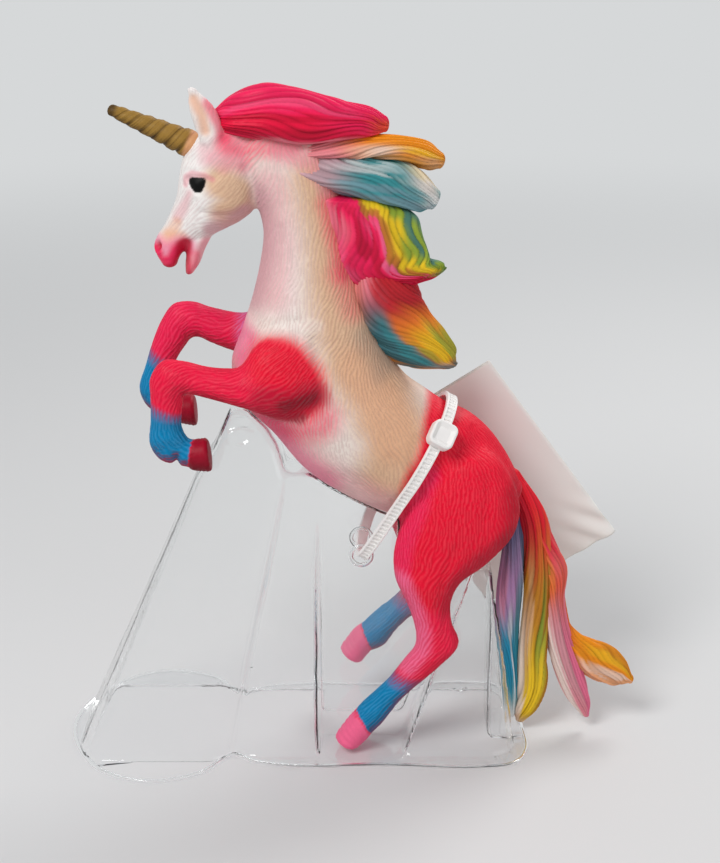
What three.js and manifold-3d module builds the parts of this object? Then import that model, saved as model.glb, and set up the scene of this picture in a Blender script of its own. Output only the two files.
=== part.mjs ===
// A rearing unicorn figurine with rainbow mane and tail, tied with a cable tie to its clear moulded stand,
// with a bare folded paper tag on the tie. Millimetres, +Z up, the unicorn faces -X, its left side is -Y.

import * as THREE from "three";
import { mergeVertices } from "three/addons/utils/BufferGeometryUtils.js";
import Module from "manifold-3d";

const wasm = await Module();
wasm.setup();

// Driving dimensions

const CLEARANCE = 0.35; // between pieces that seat against each other
const PEG_RADIUS = 1.7;
const PEG_DEPTH = 5; // how far a peg reaches into its socket

const BARREL_HALF_WIDTH = 12.8;
const NECK_HALF_WIDTH = 6;
const CHEEK_HALF_WIDTH = 5.9;
const MUZZLE_HALF_WIDTH = 3.8;
const CANNON_HALF_WIDTH = 3;
const HOOF_HALF_WIDTH = 3.6;
const FORELEG_SPREAD = 9.6; // mid-plane to the middle of a foreleg
const THIGH_SPREAD = 8.2; // mid-plane to the middle of a thigh
const HIND_HOOF_SPREAD = 11;
const THIGH_HALF_WIDTH = 6.4;

const HORN_LENGTH = 17.5;
const HORN_BASE_RADIUS = 2.95;
const HORN_TIP_RADIUS = 1.1;
const HORN_TURNS = 3.5;

const EAR_SPREAD = 4.2;
const EAR_THICKNESS = 3;
const EAR_LAID_BACK = 0.65; // how far the right ear is drawn back and down, per millimetre of its height
const EAR_LAID_DOWN = 0.45;

const STAND_WALL = 0.6;
const FRONT_POD_HALF_DEPTH = 17.5;
const REAR_POD_HALF_DEPTH = 15.5;
const WEB_HALF_DEPTH = 5.2;
const FRONT_FLANGE_HALF_DEPTH = 26;
const REAR_FLANGE_HALF_DEPTH = 20;

const STRAP_WIDTH = 2.5;
const STRAP_THICKNESS = 1.1;
const TIE_HEAD_LENGTH = 6.2;
const TIE_HEAD_WIDTH = 6;
const TIE_HEAD_HEIGHT = 3.6;
const TIE_HEAD_CORNER = 1.5;
const EYELET_RADIUS = 2;

const TAG_LENGTH = 56;
const TAG_WIDTH = 36;
const TAG_LEAF = 0.4;
const TAG_LEAF_GAP = 0.5;
const TAG_HOLE_RADIUS = 3.7;
const TAG_HOLE_INSET = 5.2; // hole to the short edge
const TAG_HOLE_FROM_FOLD = 23.5;
const TAG_SLOPE = THREE.MathUtils.degToRad(35); // how far its long side has swung from hanging straight down
const TAG_STANDS_OFF = 2.6; // tag middle out from where the strap would touch the flank
const TAG_EDGE_ROOM = 0.3; // between the strap and the open side edge of the tag, which leans on it
const HIP_ROOM = 2.6; // between the tag's middle and the hip

// Colours as painted

const COLOURS = {
  body: 0xe9b9ae,
  head: 0xeadccf,
  horn: 0x8a6a34,
  leg: 0xd8304f,
  mane: 0xe8386a,
  lowerMane: 0xe88a3c,
  tail: 0xd9a646,
  clear: 0xdfe8ee,
  nylon: 0xf2f0ee,
  paper: 0xf0efea,
};

// Solids and how they are made

function solidOf(positions, triangles) {
  const build = (tris) =>
    new wasm.Manifold(
      new wasm.Mesh({
        numProp: 3,
        vertProperties: new Float32Array(positions),
        triVerts: new Uint32Array(tris),
      }),
    );
  const solid = build(triangles);
  if (solid.volume() > 0) return solid;
  const turned = [];
  for (let i = 0; i < triangles.length; i += 3) {
    turned.push(triangles[i], triangles[i + 2], triangles[i + 1]);
  }
  return build(turned);
}

function solidOfGeometry(geometry) {
  const bare = geometry.clone();
  bare.deleteAttribute("normal");
  bare.deleteAttribute("uv");
  const merged = mergeVertices(bare, 1e-4);
  return solidOf(Array.from(merged.attributes.position.array), Array.from(merged.index.array));
}

function joined(...solids) {
  return solids.reduce((whole, next) => whole.add(next));
}

function largest(solid) {
  return solid.decompose().reduce((best, next) => (next.volume() > best.volume() ? next : best));
}

// A skin over rings of equal point counts, closed at both ends by a point.
function skinOver(rings, startPoint, endPoint) {
  const count = rings[0].length;
  const positions = [startPoint.x, startPoint.y, startPoint.z];
  rings.flat().forEach((p) => positions.push(p.x, p.y, p.z));
  positions.push(endPoint.x, endPoint.y, endPoint.z);
  const last = positions.length / 3 - 1;
  const at = (ring, j) => 1 + ring * count + (j % count);
  const triangles = [];
  for (let j = 0; j < count; j++) {
    triangles.push(0, at(0, j + 1), at(0, j));
    triangles.push(last, at(rings.length - 1, j), at(rings.length - 1, j + 1));
    for (let i = 0; i + 1 < rings.length; i++) {
      triangles.push(at(i, j), at(i, j + 1), at(i + 1, j));
      triangles.push(at(i + 1, j), at(i, j + 1), at(i + 1, j + 1));
    }
  }
  return solidOf(positions, triangles);
}

// A loft through stations. Each station is the side view's two edge points [x, z], the half-width across
// and the middle's y. The skin passes smoothly through them, rounded off at the ends by the cap lengths.
function loft(stations, options = {}) {
  const { steps = 3, sides = 16, grow = 0, capStart = 0, capEnd = 0 } = options;
  const { lobes = 0, lobeDepth = 0, twist = 0 } = options;
  const curve = (pick) => new THREE.CatmullRomCurve3(stations.map(pick));
  const edgeA = curve((s) => new THREE.Vector3(s[0], 0, s[1]));
  const edgeB = curve((s) => new THREE.Vector3(s[2], 0, s[3]));
  const across = curve((s) => new THREE.Vector3(s[4], s[5], 0));
  const spans = (stations.length - 1) * steps;
  const frames = [];
  for (let i = 0; i <= spans; i++) {
    const t = i / spans;
    const a = edgeA.getPoint(t);
    const b = edgeB.getPoint(t);
    const size = across.getPoint(t);
    const middle = a.clone().add(b).multiplyScalar(0.5).setY(size.y);
    const half = a.clone().sub(b).multiplyScalar(0.5);
    half.setLength(half.length() + grow);
    frames.push({ middle, half, width: size.x + grow, turn: twist * t * 2 * Math.PI });
  }
  const ringOf = (frame, scale, shift) => {
    const ring = [];
    for (let j = 0; j < sides; j++) {
      const angle = (j / sides) * 2 * Math.PI;
      const reach = scale * (1 + lobeDepth * Math.cos(lobes * angle + frame.turn));
      const point = frame.middle.clone().add(shift);
      point.addScaledVector(frame.half, Math.cos(angle) * reach);
      point.y += frame.width * Math.sin(angle) * reach;
      ring.push(point);
    }
    return ring;
  };
  const still = new THREE.Vector3();
  const rings = frames.map((frame) => ringOf(frame, 1, still));
  const rounded = (frame, inward, length) => {
    const outward = frame.middle.clone().sub(inward.middle).normalize();
    const angles = length > 0 ? [Math.PI / 6, Math.PI / 3] : [];
    const cap = angles.map((angle) => {
      const shift = outward.clone().multiplyScalar((length + grow) * Math.sin(angle));
      return ringOf(frame, Math.cos(angle), shift);
    });
    const pole = frame.middle.clone().addScaledVector(outward, length + grow);
    return { cap, pole };
  };
  const start = rounded(frames[0], frames[1], capStart);
  const end = rounded(frames[spans], frames[spans - 1], capEnd);
  return skinOver([...start.cap.reverse(), ...rings, ...end.cap], start.pole, end.pole);
}

// A straight round rod between two points.
function rod(from, to, radius, sides = 10) {
  const length = from.distanceTo(to);
  const geometry = new THREE.CylinderGeometry(radius, radius, length, sides);
  const direction = to.clone().sub(from).normalize();
  const turn = new THREE.Quaternion().setFromUnitVectors(new THREE.Vector3(0, 1, 0), direction);
  geometry.applyQuaternion(turn);
  const middle = from.clone().add(to).multiplyScalar(0.5);
  geometry.translate(middle.x, middle.y, middle.z);
  return solidOfGeometry(geometry);
}

// A peg on one piece and the socket it fills in the other, sharing one axis.
function pegAndSocket(root, direction, reachBack) {
  const along = direction.clone().normalize();
  const start = root.clone().addScaledVector(along, -reachBack);
  const end = root.clone().addScaledVector(along, PEG_DEPTH);
  const socketEnd = root.clone().addScaledVector(along, PEG_DEPTH + CLEARANCE);
  return {
    peg: rod(start, end, PEG_RADIUS),
    socket: rod(start, socketEnd, PEG_RADIUS + CLEARANCE),
  };
}

const mirrored = (solid) => solid.scale([1, -1, 1]);

// The four corners of a rounded rectangle in turn: side along x, side along y, first quarter of its arc.
const ROUND_CORNERS = [
  [1, 1, 0],
  [-1, 1, 1],
  [-1, -1, 2],
  [1, -1, 3],
];

// Body: neck, chest, barrel and croup in one casting.
// Columns: front or belly edge x, z; back edge x, z; half-width; middle y.

const barrel = BARREL_HALF_WIDTH;
const neck = NECK_HALF_WIDTH;
const WAIST_SHARE = 0.87; // the waist's width beside the barrel's
const BODY_STATIONS = [
  [-26, 131.5, -18, 143, 0.8 * neck, 0],
  [-21.5, 124.5, -10, 139.5, 0.95 * neck, 0],
  [-20.4, 119.5, -4.5, 129.5, 1.05 * neck, 0],
  [-21.2, 113, -2, 119, 1.15 * neck, 0],
  [-23, 105.5, -0.3, 109.5, 1.4 * neck, 0],
  [-25.5, 98, 2.5, 101.5, 0.8 * barrel, 0],
  [-28, 90, 6, 93, 0.93 * barrel, 0],
  [-25.5, 81.5, 10, 87.2, barrel, 0],
  [-19.5, 75.2, 14.5, 83.8, 1.03 * barrel, 0],
  [-12.5, 66.5, 19, 80.8, barrel, 0],
  [-4, 60.4, 24, 78.6, 0.92 * barrel, 0],
  [5, 56, 28.5, 74.8, WAIST_SHARE * barrel, 0],
  [13, 53, 32.5, 69.2, 0.86 * barrel, 0],
  [22, 52.5, 35.6, 63.2, 0.72 * barrel, 0],
];
const bodyLoft = (grow) => loft(BODY_STATIONS, { sides: 22, steps: 2, grow, capStart: 3, capEnd: 4 });
const bodyBlank = bodyLoft(0);
const bodyWithGap = bodyLoft(CLEARANCE);

// Head: skull and face, parted lips, ears and eyes.

const cheek = CHEEK_HALF_WIDTH;
const muzzle = MUZZLE_HALF_WIDTH;
const SKULL_STATIONS = [
  [-29.5, 142.6, -22, 137.5, 0.74 * cheek, 0],
  [-34, 139.8, -20.8, 131, 0.95 * cheek, 0],
  [-36.8, 135.4, -22, 124.8, cheek, 0],
  [-37.9, 131, -25, 122, 0.96 * cheek, 0],
  [-38.6, 127, -28, 120.4, 0.82 * cheek, 0],
  [-39.9, 123.8, -30.8, 119, 0.72 * cheek, 0],
  [-41.6, 120.6, -33.2, 117.4, 0.97 * muzzle, 0],
];
const UPPER_LIP_STATIONS = [
  [-41, 121.4, -34.5, 118.6, 0.97 * muzzle, 0],
  [-43.3, 118, -37, 115.8, muzzle, 0],
  [-43.5, 115.2, -38.2, 114.4, 0.97 * muzzle, 0],
  [-42.3, 112.8, -38.9, 113, 0.78 * muzzle, 0],
];
const LOWER_LIP_STATIONS = [
  [-37, 118, -31.5, 118.4, 0.85 * muzzle, 0],
  [-37, 115, -33, 115.6, 0.76 * muzzle, 0],
  [-37.3, 112.4, -34.1, 112.8, 0.68 * muzzle, 0],
  [-37.3, 110.9, -35.4, 110.9, 0.55 * muzzle, 0],
];
const EAR_STATIONS = [
  [-32.6, 138, -28.4, 139.5, 0.45 * EAR_THICKNESS, -0.85 * EAR_SPREAD],
  [-34, 142.5, -29.2, 143.6, 0.5 * EAR_THICKNESS, -EAR_SPREAD],
  [-35, 146.4, -30.6, 147, 0.42 * EAR_THICKNESS, -1.08 * EAR_SPREAD],
  [-35, 149, -32.8, 149.4, 0.25 * EAR_THICKNESS, -1.1 * EAR_SPREAD],
];
const EAR_HOLLOW_STATIONS = [
  [-33.6, 141.4, -31, 141.8, 0.25 * EAR_THICKNESS, -1.25 * EAR_SPREAD],
  [-34.4, 144.5, -31.2, 144.8, 0.32 * EAR_THICKNESS, -1.36 * EAR_SPREAD],
  [-34.6, 147.6, -33, 147.8, 0.2 * EAR_THICKNESS, -1.36 * EAR_SPREAD],
];
const EAR_ROOT_HEIGHT = 138;
const EYE = new THREE.Vector3(-33.6, -0.86 * CHEEK_HALF_WIDTH, 130.6);
const EYE_RADIUS = 1.5;

// The right ear lies back against the mane, where the left one stands up.
function laidBack(stations) {
  const place = (x, z) => {
    const height = Math.max(z - EAR_ROOT_HEIGHT, 0);
    return [x + EAR_LAID_BACK * height, z - EAR_LAID_DOWN * height];
  };
  return stations.map(([ax, az, bx, bz, half, y]) => [...place(ax, az), ...place(bx, bz), half, -y]);
}

function headLofts(grow) {
  const skull = loft(SKULL_STATIONS, { sides: 14, steps: 2, grow, capStart: 2.5, capEnd: 0 });
  const upperLip = loft(UPPER_LIP_STATIONS, { sides: 10, steps: 2, grow, capStart: 0, capEnd: 1.2 });
  const lowerLip = loft(LOWER_LIP_STATIONS, { sides: 8, steps: 2, grow, capStart: 0, capEnd: 0.9 });
  const ears = [EAR_STATIONS, laidBack(EAR_STATIONS)].map((stations) =>
    loft(stations, { sides: 8, steps: 2, grow, capStart: 1, capEnd: 1.3 }),
  );
  return joined(skull, upperLip, lowerLip, ...ears);
}

const hollows = [EAR_HOLLOW_STATIONS, laidBack(EAR_HOLLOW_STATIONS)].map((stations) =>
  loft(stations, { sides: 6, steps: 1, capStart: 0.8, capEnd: 0.8 }),
);
const eyeGeometry = new THREE.SphereGeometry(EYE_RADIUS, 8, 6);
eyeGeometry.translate(EYE.x, EYE.y, EYE.z);
const eyeBall = solidOfGeometry(eyeGeometry);
const headWithGap = headLofts(CLEARANCE);
const headFull = joined(headLofts(0), eyeBall, mirrored(eyeBall));
const headBlank = headFull.subtract(joined(...hollows));

// Horn: a tapering two-lobed twist with a blunt tip.

const HORN_ROOT = new THREE.Vector3(-35.6, 0, 138);
const HORN_DIRECTION = new THREE.Vector3(-0.915, 0, 0.403);
const HORN_RINGS = 26;
const HORN_SIDES = 10;
const HORN_LOBE_DEPTH = 0.13;
const HORN_ROOT_INSIDE = 2; // how far the twist starts below the forehead

function hornTwist() {
  const up = new THREE.Vector3(-HORN_DIRECTION.z, 0, HORN_DIRECTION.x).negate();
  const side = new THREE.Vector3(0, 1, 0);
  const rings = [];
  const pointAt = (distance) => HORN_ROOT.clone().addScaledVector(HORN_DIRECTION, distance);
  for (let i = 0; i <= HORN_RINGS; i++) {
    const t = i / HORN_RINGS;
    const radius = THREE.MathUtils.lerp(HORN_BASE_RADIUS, HORN_TIP_RADIUS, Math.pow(t, 1.15));
    const middle = pointAt(-HORN_ROOT_INSIDE + t * (HORN_LENGTH + HORN_ROOT_INSIDE));
    const ring = [];
    for (let j = 0; j < HORN_SIDES; j++) {
      const angle = (j / HORN_SIDES) * 2 * Math.PI;
      const reach = radius * (1 + HORN_LOBE_DEPTH * Math.cos(2 * (angle - t * HORN_TURNS * 2 * Math.PI)));
      const point = middle.clone().addScaledVector(up, Math.cos(angle) * reach);
      ring.push(point.addScaledVector(side, Math.sin(angle) * reach));
    }
    rings.push(ring);
  }
  return skinOver(rings, pointAt(-HORN_ROOT_INSIDE), pointAt(HORN_LENGTH + 0.6 * HORN_TIP_RADIUS));
}

const hornSeat = HORN_ROOT.clone().addScaledVector(HORN_DIRECTION, -1);
const hornFit = pegAndSocket(hornSeat, HORN_DIRECTION.clone().negate(), 3);
const horn = largest(hornTwist().subtract(headWithGap)).add(hornFit.peg);

// Legs. The near side is the left, at negative y; hooves end flat at the sole.

const cannon = CANNON_HALF_WIDTH;
const hoof = HOOF_HALF_WIDTH;
const foreleg = FORELEG_SPREAD;
const LEFT_FORELEG_STATIONS = [
  [-17, 99, -7, 87.5, 1.5 * cannon, -0.78 * foreleg],
  [-22, 96.5, -8.6, 82, 1.75 * cannon, -0.92 * foreleg],
  [-25.4, 92.2, -16.5, 80.9, 1.7 * cannon, -foreleg],
  [-28.8, 91.8, -24.5, 83.3, 1.45 * cannon, -1.02 * foreleg],
  [-33, 92.3, -31, 85.2, 1.22 * cannon, -1.02 * foreleg],
  [-37.2, 93.4, -35.4, 86.3, 1.17 * cannon, -1.02 * foreleg],
  [-41.9, 93.6, -37.4, 86.4, 1.22 * cannon, -1.02 * foreleg],
  [-44.6, 89.8, -37.9, 85, 1.14 * cannon, -1.02 * foreleg],
  [-44.7, 85.8, -38.2, 82.6, 1.04 * cannon, -1.02 * foreleg],
  [-44.9, 80.4, -38.5, 79.4, cannon, -1.02 * foreleg],
  [-45.3, 75, -37.9, 77.3, 1.13 * cannon, -1.02 * foreleg],
  [-43.2, 71.6, -37.4, 76.4, 1.08 * cannon, -1.02 * foreleg],
  [-40, 70.4, -37.1, 76, cannon, -1.02 * foreleg],
  [-37.4, 69.6, -36.8, 75.8, cannon, -1.02 * foreleg],
];
const LEFT_FOREHOOF_STATIONS = [
  [-38, 69.4, -37.4, 75.9, 0.95 * hoof, -1.02 * foreleg],
  [-36.4, 69, -36.2, 76, hoof, -1.02 * foreleg],
  [-32.2, 68.7, -33.2, 76.2, 1.05 * hoof, -1.02 * foreleg],
];
const RIGHT_FORELEG_STATIONS = [
  [-17, 102, -8, 90, 1.5 * cannon, 0.78 * foreleg],
  [-21.5, 100.4, -17, 88, 1.7 * cannon, 0.92 * foreleg],
  [-26, 98.7, -25.5, 89.4, 1.5 * cannon, foreleg],
  [-33.4, 100, -33, 92, 1.25 * cannon, 1.02 * foreleg],
  [-37, 101.2, -36, 93.4, 1.17 * cannon, 1.02 * foreleg],
  [-41.3, 100.8, -37.8, 93, 1.2 * cannon, 1.02 * foreleg],
  [-44, 97.4, -38.8, 91.8, 1.12 * cannon, 1.02 * foreleg],
  [-46.4, 92, -41.2, 88.2, 1.04 * cannon, 1.02 * foreleg],
  [-48.1, 86.8, -42.5, 84.2, cannon, 1.02 * foreleg],
  [-49.8, 81.2, -43, 81.7, 1.13 * cannon, 1.02 * foreleg],
  [-48.4, 77.4, -42.8, 80.6, 1.08 * cannon, 1.02 * foreleg],
  [-45, 74.8, -42.3, 80, cannon, 1.02 * foreleg],
  [-42.4, 73.6, -41.6, 79.7, cannon, 1.02 * foreleg],
];
const RIGHT_FOREHOOF_STATIONS = [
  [-43, 73.4, -42, 79.8, 0.95 * hoof, 1.02 * foreleg],
  [-41.4, 72.8, -40.8, 79.9, hoof, 1.02 * foreleg],
  [-37.2, 72.2, -37.8, 79.6, 1.05 * hoof, 1.02 * foreleg],
];
const thigh = THIGH_HALF_WIDTH;
const hip = THIGH_SPREAD;
const hindHoof = HIND_HOOF_SPREAD;
const LEFT_HIND_STATIONS = [
  [16.5, 70, 31, 69.5, 0.8 * thigh, -0.85 * hip],
  [11.2, 61, 35, 61, thigh, -0.98 * hip],
  [8.8, 54.5, 34.2, 54, thigh, -1.05 * hip],
  [7.5, 48, 28.5, 47, 0.88 * thigh, -1.12 * hip],
  [8, 43, 22.5, 42.4, 0.76 * thigh, -0.9 * hindHoof],
  [10.7, 37, 20.4, 38, 1.35 * cannon, -0.94 * hindHoof],
  [12.5, 31, 20.5, 32.6, 1.24 * cannon, -0.97 * hindHoof],
  [12.5, 26.8, 22.2, 27.4, 1.28 * cannon, -0.99 * hindHoof],
  [9.8, 22.8, 18, 22.1, 1.2 * cannon, -hindHoof],
  [6.2, 17.8, 11.8, 16.1, 1.02 * cannon, -hindHoof],
  [3.4, 14.9, 9, 13, cannon, -hindHoof],
  [0.2, 11.6, 5, 7.3, 1.1 * cannon, -hindHoof],
  [-1.3, 9.6, 2.4, 4.4, 1.02 * cannon, -hindHoof],
];
const LEFT_HINDHOOF_STATIONS = [
  [-0.6, 10.4, 2.6, 4.6, 0.95 * hoof, -hindHoof],
  [-2, 9, 1.8, 3.4, hoof, -hindHoof],
  [-5.8, 3.4, -0.6, 0.7 + STAND_WALL * 0.5, 1.05 * hoof, -hindHoof],
];
const RIGHT_HIND_STATIONS = [
  [16.5, 70, 31, 69.5, 0.8 * thigh, 0.85 * hip],
  [10.8, 61.4, 35, 61, thigh, 0.98 * hip],
  [7.8, 56, 33.8, 54, thigh, 1.05 * hip],
  [6.6, 51, 29, 47.8, 0.88 * thigh, 1.12 * hip],
  [8, 46.4, 23.6, 44.2, 0.76 * thigh, 0.9 * hindHoof],
  [11.4, 42.4, 21.4, 42, 1.35 * cannon, 0.94 * hindHoof],
  [14, 38.6, 21.8, 39, 1.24 * cannon, 0.97 * hindHoof],
  [14, 34.8, 23.8, 34.4, 1.28 * cannon, 0.99 * hindHoof],
  [11.2, 31.4, 19.4, 29, 1.2 * cannon, hindHoof],
  [6.9, 27.2, 12, 23.6, 1.02 * cannon, hindHoof],
  [4.2, 25, 8.9, 20.4, cannon, hindHoof],
  [1.2, 21.9, 5.4, 15.8, 1.1 * cannon, hindHoof],
  [-0.6, 20, 2.6, 14.6, 1.02 * cannon, hindHoof],
];
const RIGHT_HINDHOOF_STATIONS = [
  [0.2, 21, 2.9, 15, 0.95 * hoof, hindHoof],
  [-1.2, 20, 2.2, 14, hoof, hindHoof],
  [-4.8, 15, 0.4, 11.6, 1.05 * hoof, hindHoof],
];

function legLoft(stations, hoofStations, grow) {
  const limb = loft(stations, { sides: 11, steps: 2, grow, capStart: 2, capEnd: 0 });
  const hoofEnd = loft(hoofStations, { sides: 11, steps: 1, grow, capStart: 0, capEnd: 0 });
  return joined(limb, hoofEnd);
}

// A leg cut to seat on the body, with a peg across into it. The peg starts just inside the leg's outer skin.
function seatedLeg(stations, hoofStations, [seatX, seatZ], outerY) {
  const inward = new THREE.Vector3(0, -Math.sign(outerY), 0);
  const root = new THREE.Vector3(seatX, outerY - Math.sign(outerY) * PEG_DEPTH * 0.6, seatZ);
  const fit = pegAndSocket(root, inward, PEG_DEPTH * 0.4);
  const cut = largest(legLoft(stations, hoofStations, 0).subtract(bodyWithGap));
  return { solid: cut.add(fit.peg), socket: fit.socket };
}

// Where each leg's peg goes in, x and z
const LEFT_SHOULDER = [-15.5, 89];
const RIGHT_SHOULDER = [-17, 95];
const HIP_JOINT = [22.5, 59.5];
const shoulderOut = foreleg + cannon;
const hipOut = hip + 0.75 * thigh;
const leftForeleg = seatedLeg(LEFT_FORELEG_STATIONS, LEFT_FOREHOOF_STATIONS, LEFT_SHOULDER, -shoulderOut);
const rightForeleg = seatedLeg(RIGHT_FORELEG_STATIONS, RIGHT_FOREHOOF_STATIONS, RIGHT_SHOULDER, shoulderOut);
const leftHind = seatedLeg(LEFT_HIND_STATIONS, LEFT_HINDHOOF_STATIONS, HIP_JOINT, -hipOut);
const rightHind = seatedLeg(RIGHT_HIND_STATIONS, RIGHT_HINDHOOF_STATIONS, HIP_JOINT, hipOut);
const hindsWithGap = joined(
  legLoft(LEFT_HIND_STATIONS, LEFT_HINDHOOF_STATIONS, CLEARANCE),
  legLoft(RIGHT_HIND_STATIONS, RIGHT_HINDHOOF_STATIONS, CLEARANCE),
);

// Mane and tail: fluted locks that twist as they taper, joined at the roots.

const LOCK = { sides: 11, steps: 2, lobes: 3, lobeDepth: 0.1 };
const CREST_STATIONS = [
  [-30.6, 144.4, -29.6, 140.5, 0.5 * neck, -0.4],
  [-26.6, 147.8, -25.4, 139.6, 0.95 * neck, -0.6],
  [-20, 150.2, -19, 138.6, 1.15 * neck, -0.6],
  [-13.6, 149.5, -12.4, 138, 1.15 * neck, -0.6],
  [-7, 147.9, -6.4, 138.4, 0.95 * neck, -0.4],
  [-1, 146.5, -0.8, 139, 0.75 * neck, 0],
  [3, 144.8, 2.6, 140.2, 0.5 * neck, 0],
  [5.2, 143, 4.9, 141, 0.22 * neck, 0],
];
const ORANGE_LOCK_STATIONS = [
  [-10, 140, -11, 135, 0.8 * neck, -0.4],
  [-3, 139.4, -3, 134.4, 0.8 * neck, -0.6],
  [4, 140, 3, 134.6, 0.66 * neck, -0.8],
  [9.2, 139.8, 9, 133.8, 0.55 * neck, -0.8],
  [14.2, 138.6, 14, 132.4, 0.42 * neck, -0.6],
  [17.2, 136.4, 16.4, 132.8, 0.24 * neck, -0.4],
];
const TEAL_LOCK_STATIONS = [
  [-12, 136, -10, 129.5, 1.15 * neck, -0.6],
  [-4.5, 135.6, -5, 127.8, 1.05 * neck, -1],
  [3, 134.6, 2, 126, 0.8 * neck, -1.2],
  [9, 133.8, 8, 124.9, 0.64 * neck, -1.2],
  [14, 132, 12.2, 124, 0.48 * neck, -1],
  [16.6, 128.8, 14.8, 124.4, 0.26 * neck, -0.8],
];
const MIDDLE_LOCK_STATIONS = [
  [5, 126.2, -5.5, 127, 0.85 * neck, -0.6],
  [11.2, 123, -3.4, 120.4, 0.95 * neck, -1],
  [13.2, 117.6, -1.6, 113.6, 0.85 * neck, -1.2],
  [15, 114.2, 2, 108.6, 0.7 * neck, -1.2],
  [18, 113, 9.4, 107.8, 0.48 * neck, -1],
  [18.4, 112, 14.6, 109, 0.26 * neck, -0.8],
];
const LOWER_LOCK_STATIONS = [
  [10, 110.5, -1.4, 110, 0.8 * neck, -0.6],
  [13, 105, 0.4, 103, 0.92 * neck, -0.8],
  [14.6, 101.8, 2.6, 97.6, 0.85 * neck, -1],
  [18.4, 97.4, 6, 92.2, 0.7 * neck, -1],
  [21.2, 93, 11.6, 89.6, 0.48 * neck, -0.8],
  [21.2, 90.6, 18, 89, 0.25 * neck, -0.6],
];
function lock(stations, grow, twist) {
  return loft(stations, { ...LOCK, grow, twist, capStart: 1.2, capEnd: 1.1 });
}

function upperManeLocks(grow) {
  return joined(
    lock(CREST_STATIONS, grow, 0.35),
    lock(ORANGE_LOCK_STATIONS, grow, -0.4),
    lock(TEAL_LOCK_STATIONS, grow, 0.4),
  );
}

function lowerManeLocks(grow) {
  return joined(lock(MIDDLE_LOCK_STATIONS, grow, 0.45), lock(LOWER_LOCK_STATIONS, grow, -0.45));
}

// Where each mane peg goes into the neck, and how far it reaches back into its lock
const UPPER_MANE_ROOT = new THREE.Vector3(-14, 0, 140);
const LOWER_MANE_ROOT = new THREE.Vector3(-1.6, 0, 115);
const MANE_PEG_BACK = 3.5;
const upperManeFit = pegAndSocket(UPPER_MANE_ROOT, new THREE.Vector3(-0.45, 0, -0.9), MANE_PEG_BACK);
const lowerManeFit = pegAndSocket(LOWER_MANE_ROOT, new THREE.Vector3(-0.97, 0, -0.25), MANE_PEG_BACK);
const upperManeCut = upperManeLocks(0).subtract(bodyWithGap).subtract(headWithGap);
const upperMane = largest(upperManeCut).add(upperManeFit.peg);
const lowerManeCut = lowerManeLocks(0).subtract(bodyWithGap).subtract(upperManeLocks(CLEARANCE));
const lowerMane = largest(lowerManeCut).add(lowerManeFit.peg);

const YELLOW_TAIL_STATIONS = [
  [40.6, 58, 33.6, 60.5, 0.55 * neck, 0],
  [42.6, 52.4, 36, 51, 0.64 * neck, -0.4],
  [43.8, 44, 36.8, 43, 0.66 * neck, -0.8],
  [43.8, 33.5, 37.2, 33.5, 0.62 * neck, -1.2],
  [43.4, 22, 36.6, 22, 0.58 * neck, -1.6],
  [43.9, 13, 36.4, 11.6, 0.5 * neck, -2],
  [41.8, 6, 36, 5.2, 0.36 * neck, -2],
  [39.2, 2.8, 36.8, 3, 0.18 * neck, -2],
];
const TEAL_TAIL_STATIONS = [
  [37.5, 54.5, 33.8, 53.5, 0.42 * neck, -1.6],
  [37.4, 46, 32, 45.8, 0.5 * neck, -2.2],
  [37, 36.5, 31, 36, 0.52 * neck, -2.6],
  [36.6, 27, 31, 26.4, 0.48 * neck, -2.8],
  [36.8, 18, 33, 18, 0.38 * neck, -2.8],
  [37.2, 10, 34.6, 9, 0.28 * neck, -2.6],
  [36.6, 4.6, 35.2, 4.4, 0.14 * neck, -2.4],
];
const CORAL_TAIL_STATIONS = [
  [41.8, 56, 37.6, 55.4, 0.44 * neck, -0.4],
  [44.6, 47.5, 40.4, 46, 0.48 * neck, -0.6],
  [47.3, 41, 42, 40, 0.54 * neck, -0.6],
  [47.1, 33.8, 42, 33, 0.56 * neck, -0.8],
  [48.9, 24.8, 42.8, 24, 0.55 * neck, -1.2],
  [52, 16, 45.4, 15, 0.48 * neck, -1.6],
  [54.4, 8.4, 48.6, 8, 0.34 * neck, -1.8],
  [54.2, 4, 51.8, 4.2, 0.16 * neck, -1.8],
];
const ORANGE_TAIL_STATIONS = [
  [46.6, 36, 43.6, 34.6, 0.36 * neck, 0.4],
  [49.6, 25.4, 44.6, 23.4, 0.44 * neck, 0.6],
  [54, 22.7, 50, 15.6, 0.46 * neck, 0.4],
  [58.4, 21.2, 56, 11.7, 0.4 * neck, 0],
  [62, 17.8, 60.6, 11, 0.28 * neck, -0.4],
  [63.8, 13.8, 63, 11.6, 0.13 * neck, -0.6],
];
function tailLocks(grow) {
  return joined(
    lock(YELLOW_TAIL_STATIONS, grow, 0.5),
    lock(TEAL_TAIL_STATIONS, grow, -0.4),
    lock(CORAL_TAIL_STATIONS, grow, -0.5),
    lock(ORANGE_TAIL_STATIONS, grow, 0.4),
  );
}

const TAIL_ROOT = new THREE.Vector3(36.4, 0, 58.6);
const TAIL_PEG_BACK = 2.5;
const tailFit = pegAndSocket(TAIL_ROOT, new THREE.Vector3(-0.8, 0, 0.6), TAIL_PEG_BACK);
const tailCut = tailLocks(0).subtract(bodyWithGap).subtract(hindsWithGap);
const tail = largest(tailCut).add(tailFit.peg);

const head = largest(headBlank.subtract(bodyWithGap)).subtract(hornFit.socket);
const sockets = [leftForeleg, rightForeleg, leftHind, rightHind, upperManeFit, lowerManeFit, tailFit];
const body = largest(sockets.reduce((solid, fit) => solid.subtract(fit.socket), bodyBlank));

// Clear stand: a moulded sheet with two pods, a thin web between them and hoof recesses at both sides.
// Columns: height z, x of the front and back faces, half-depth across.

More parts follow.
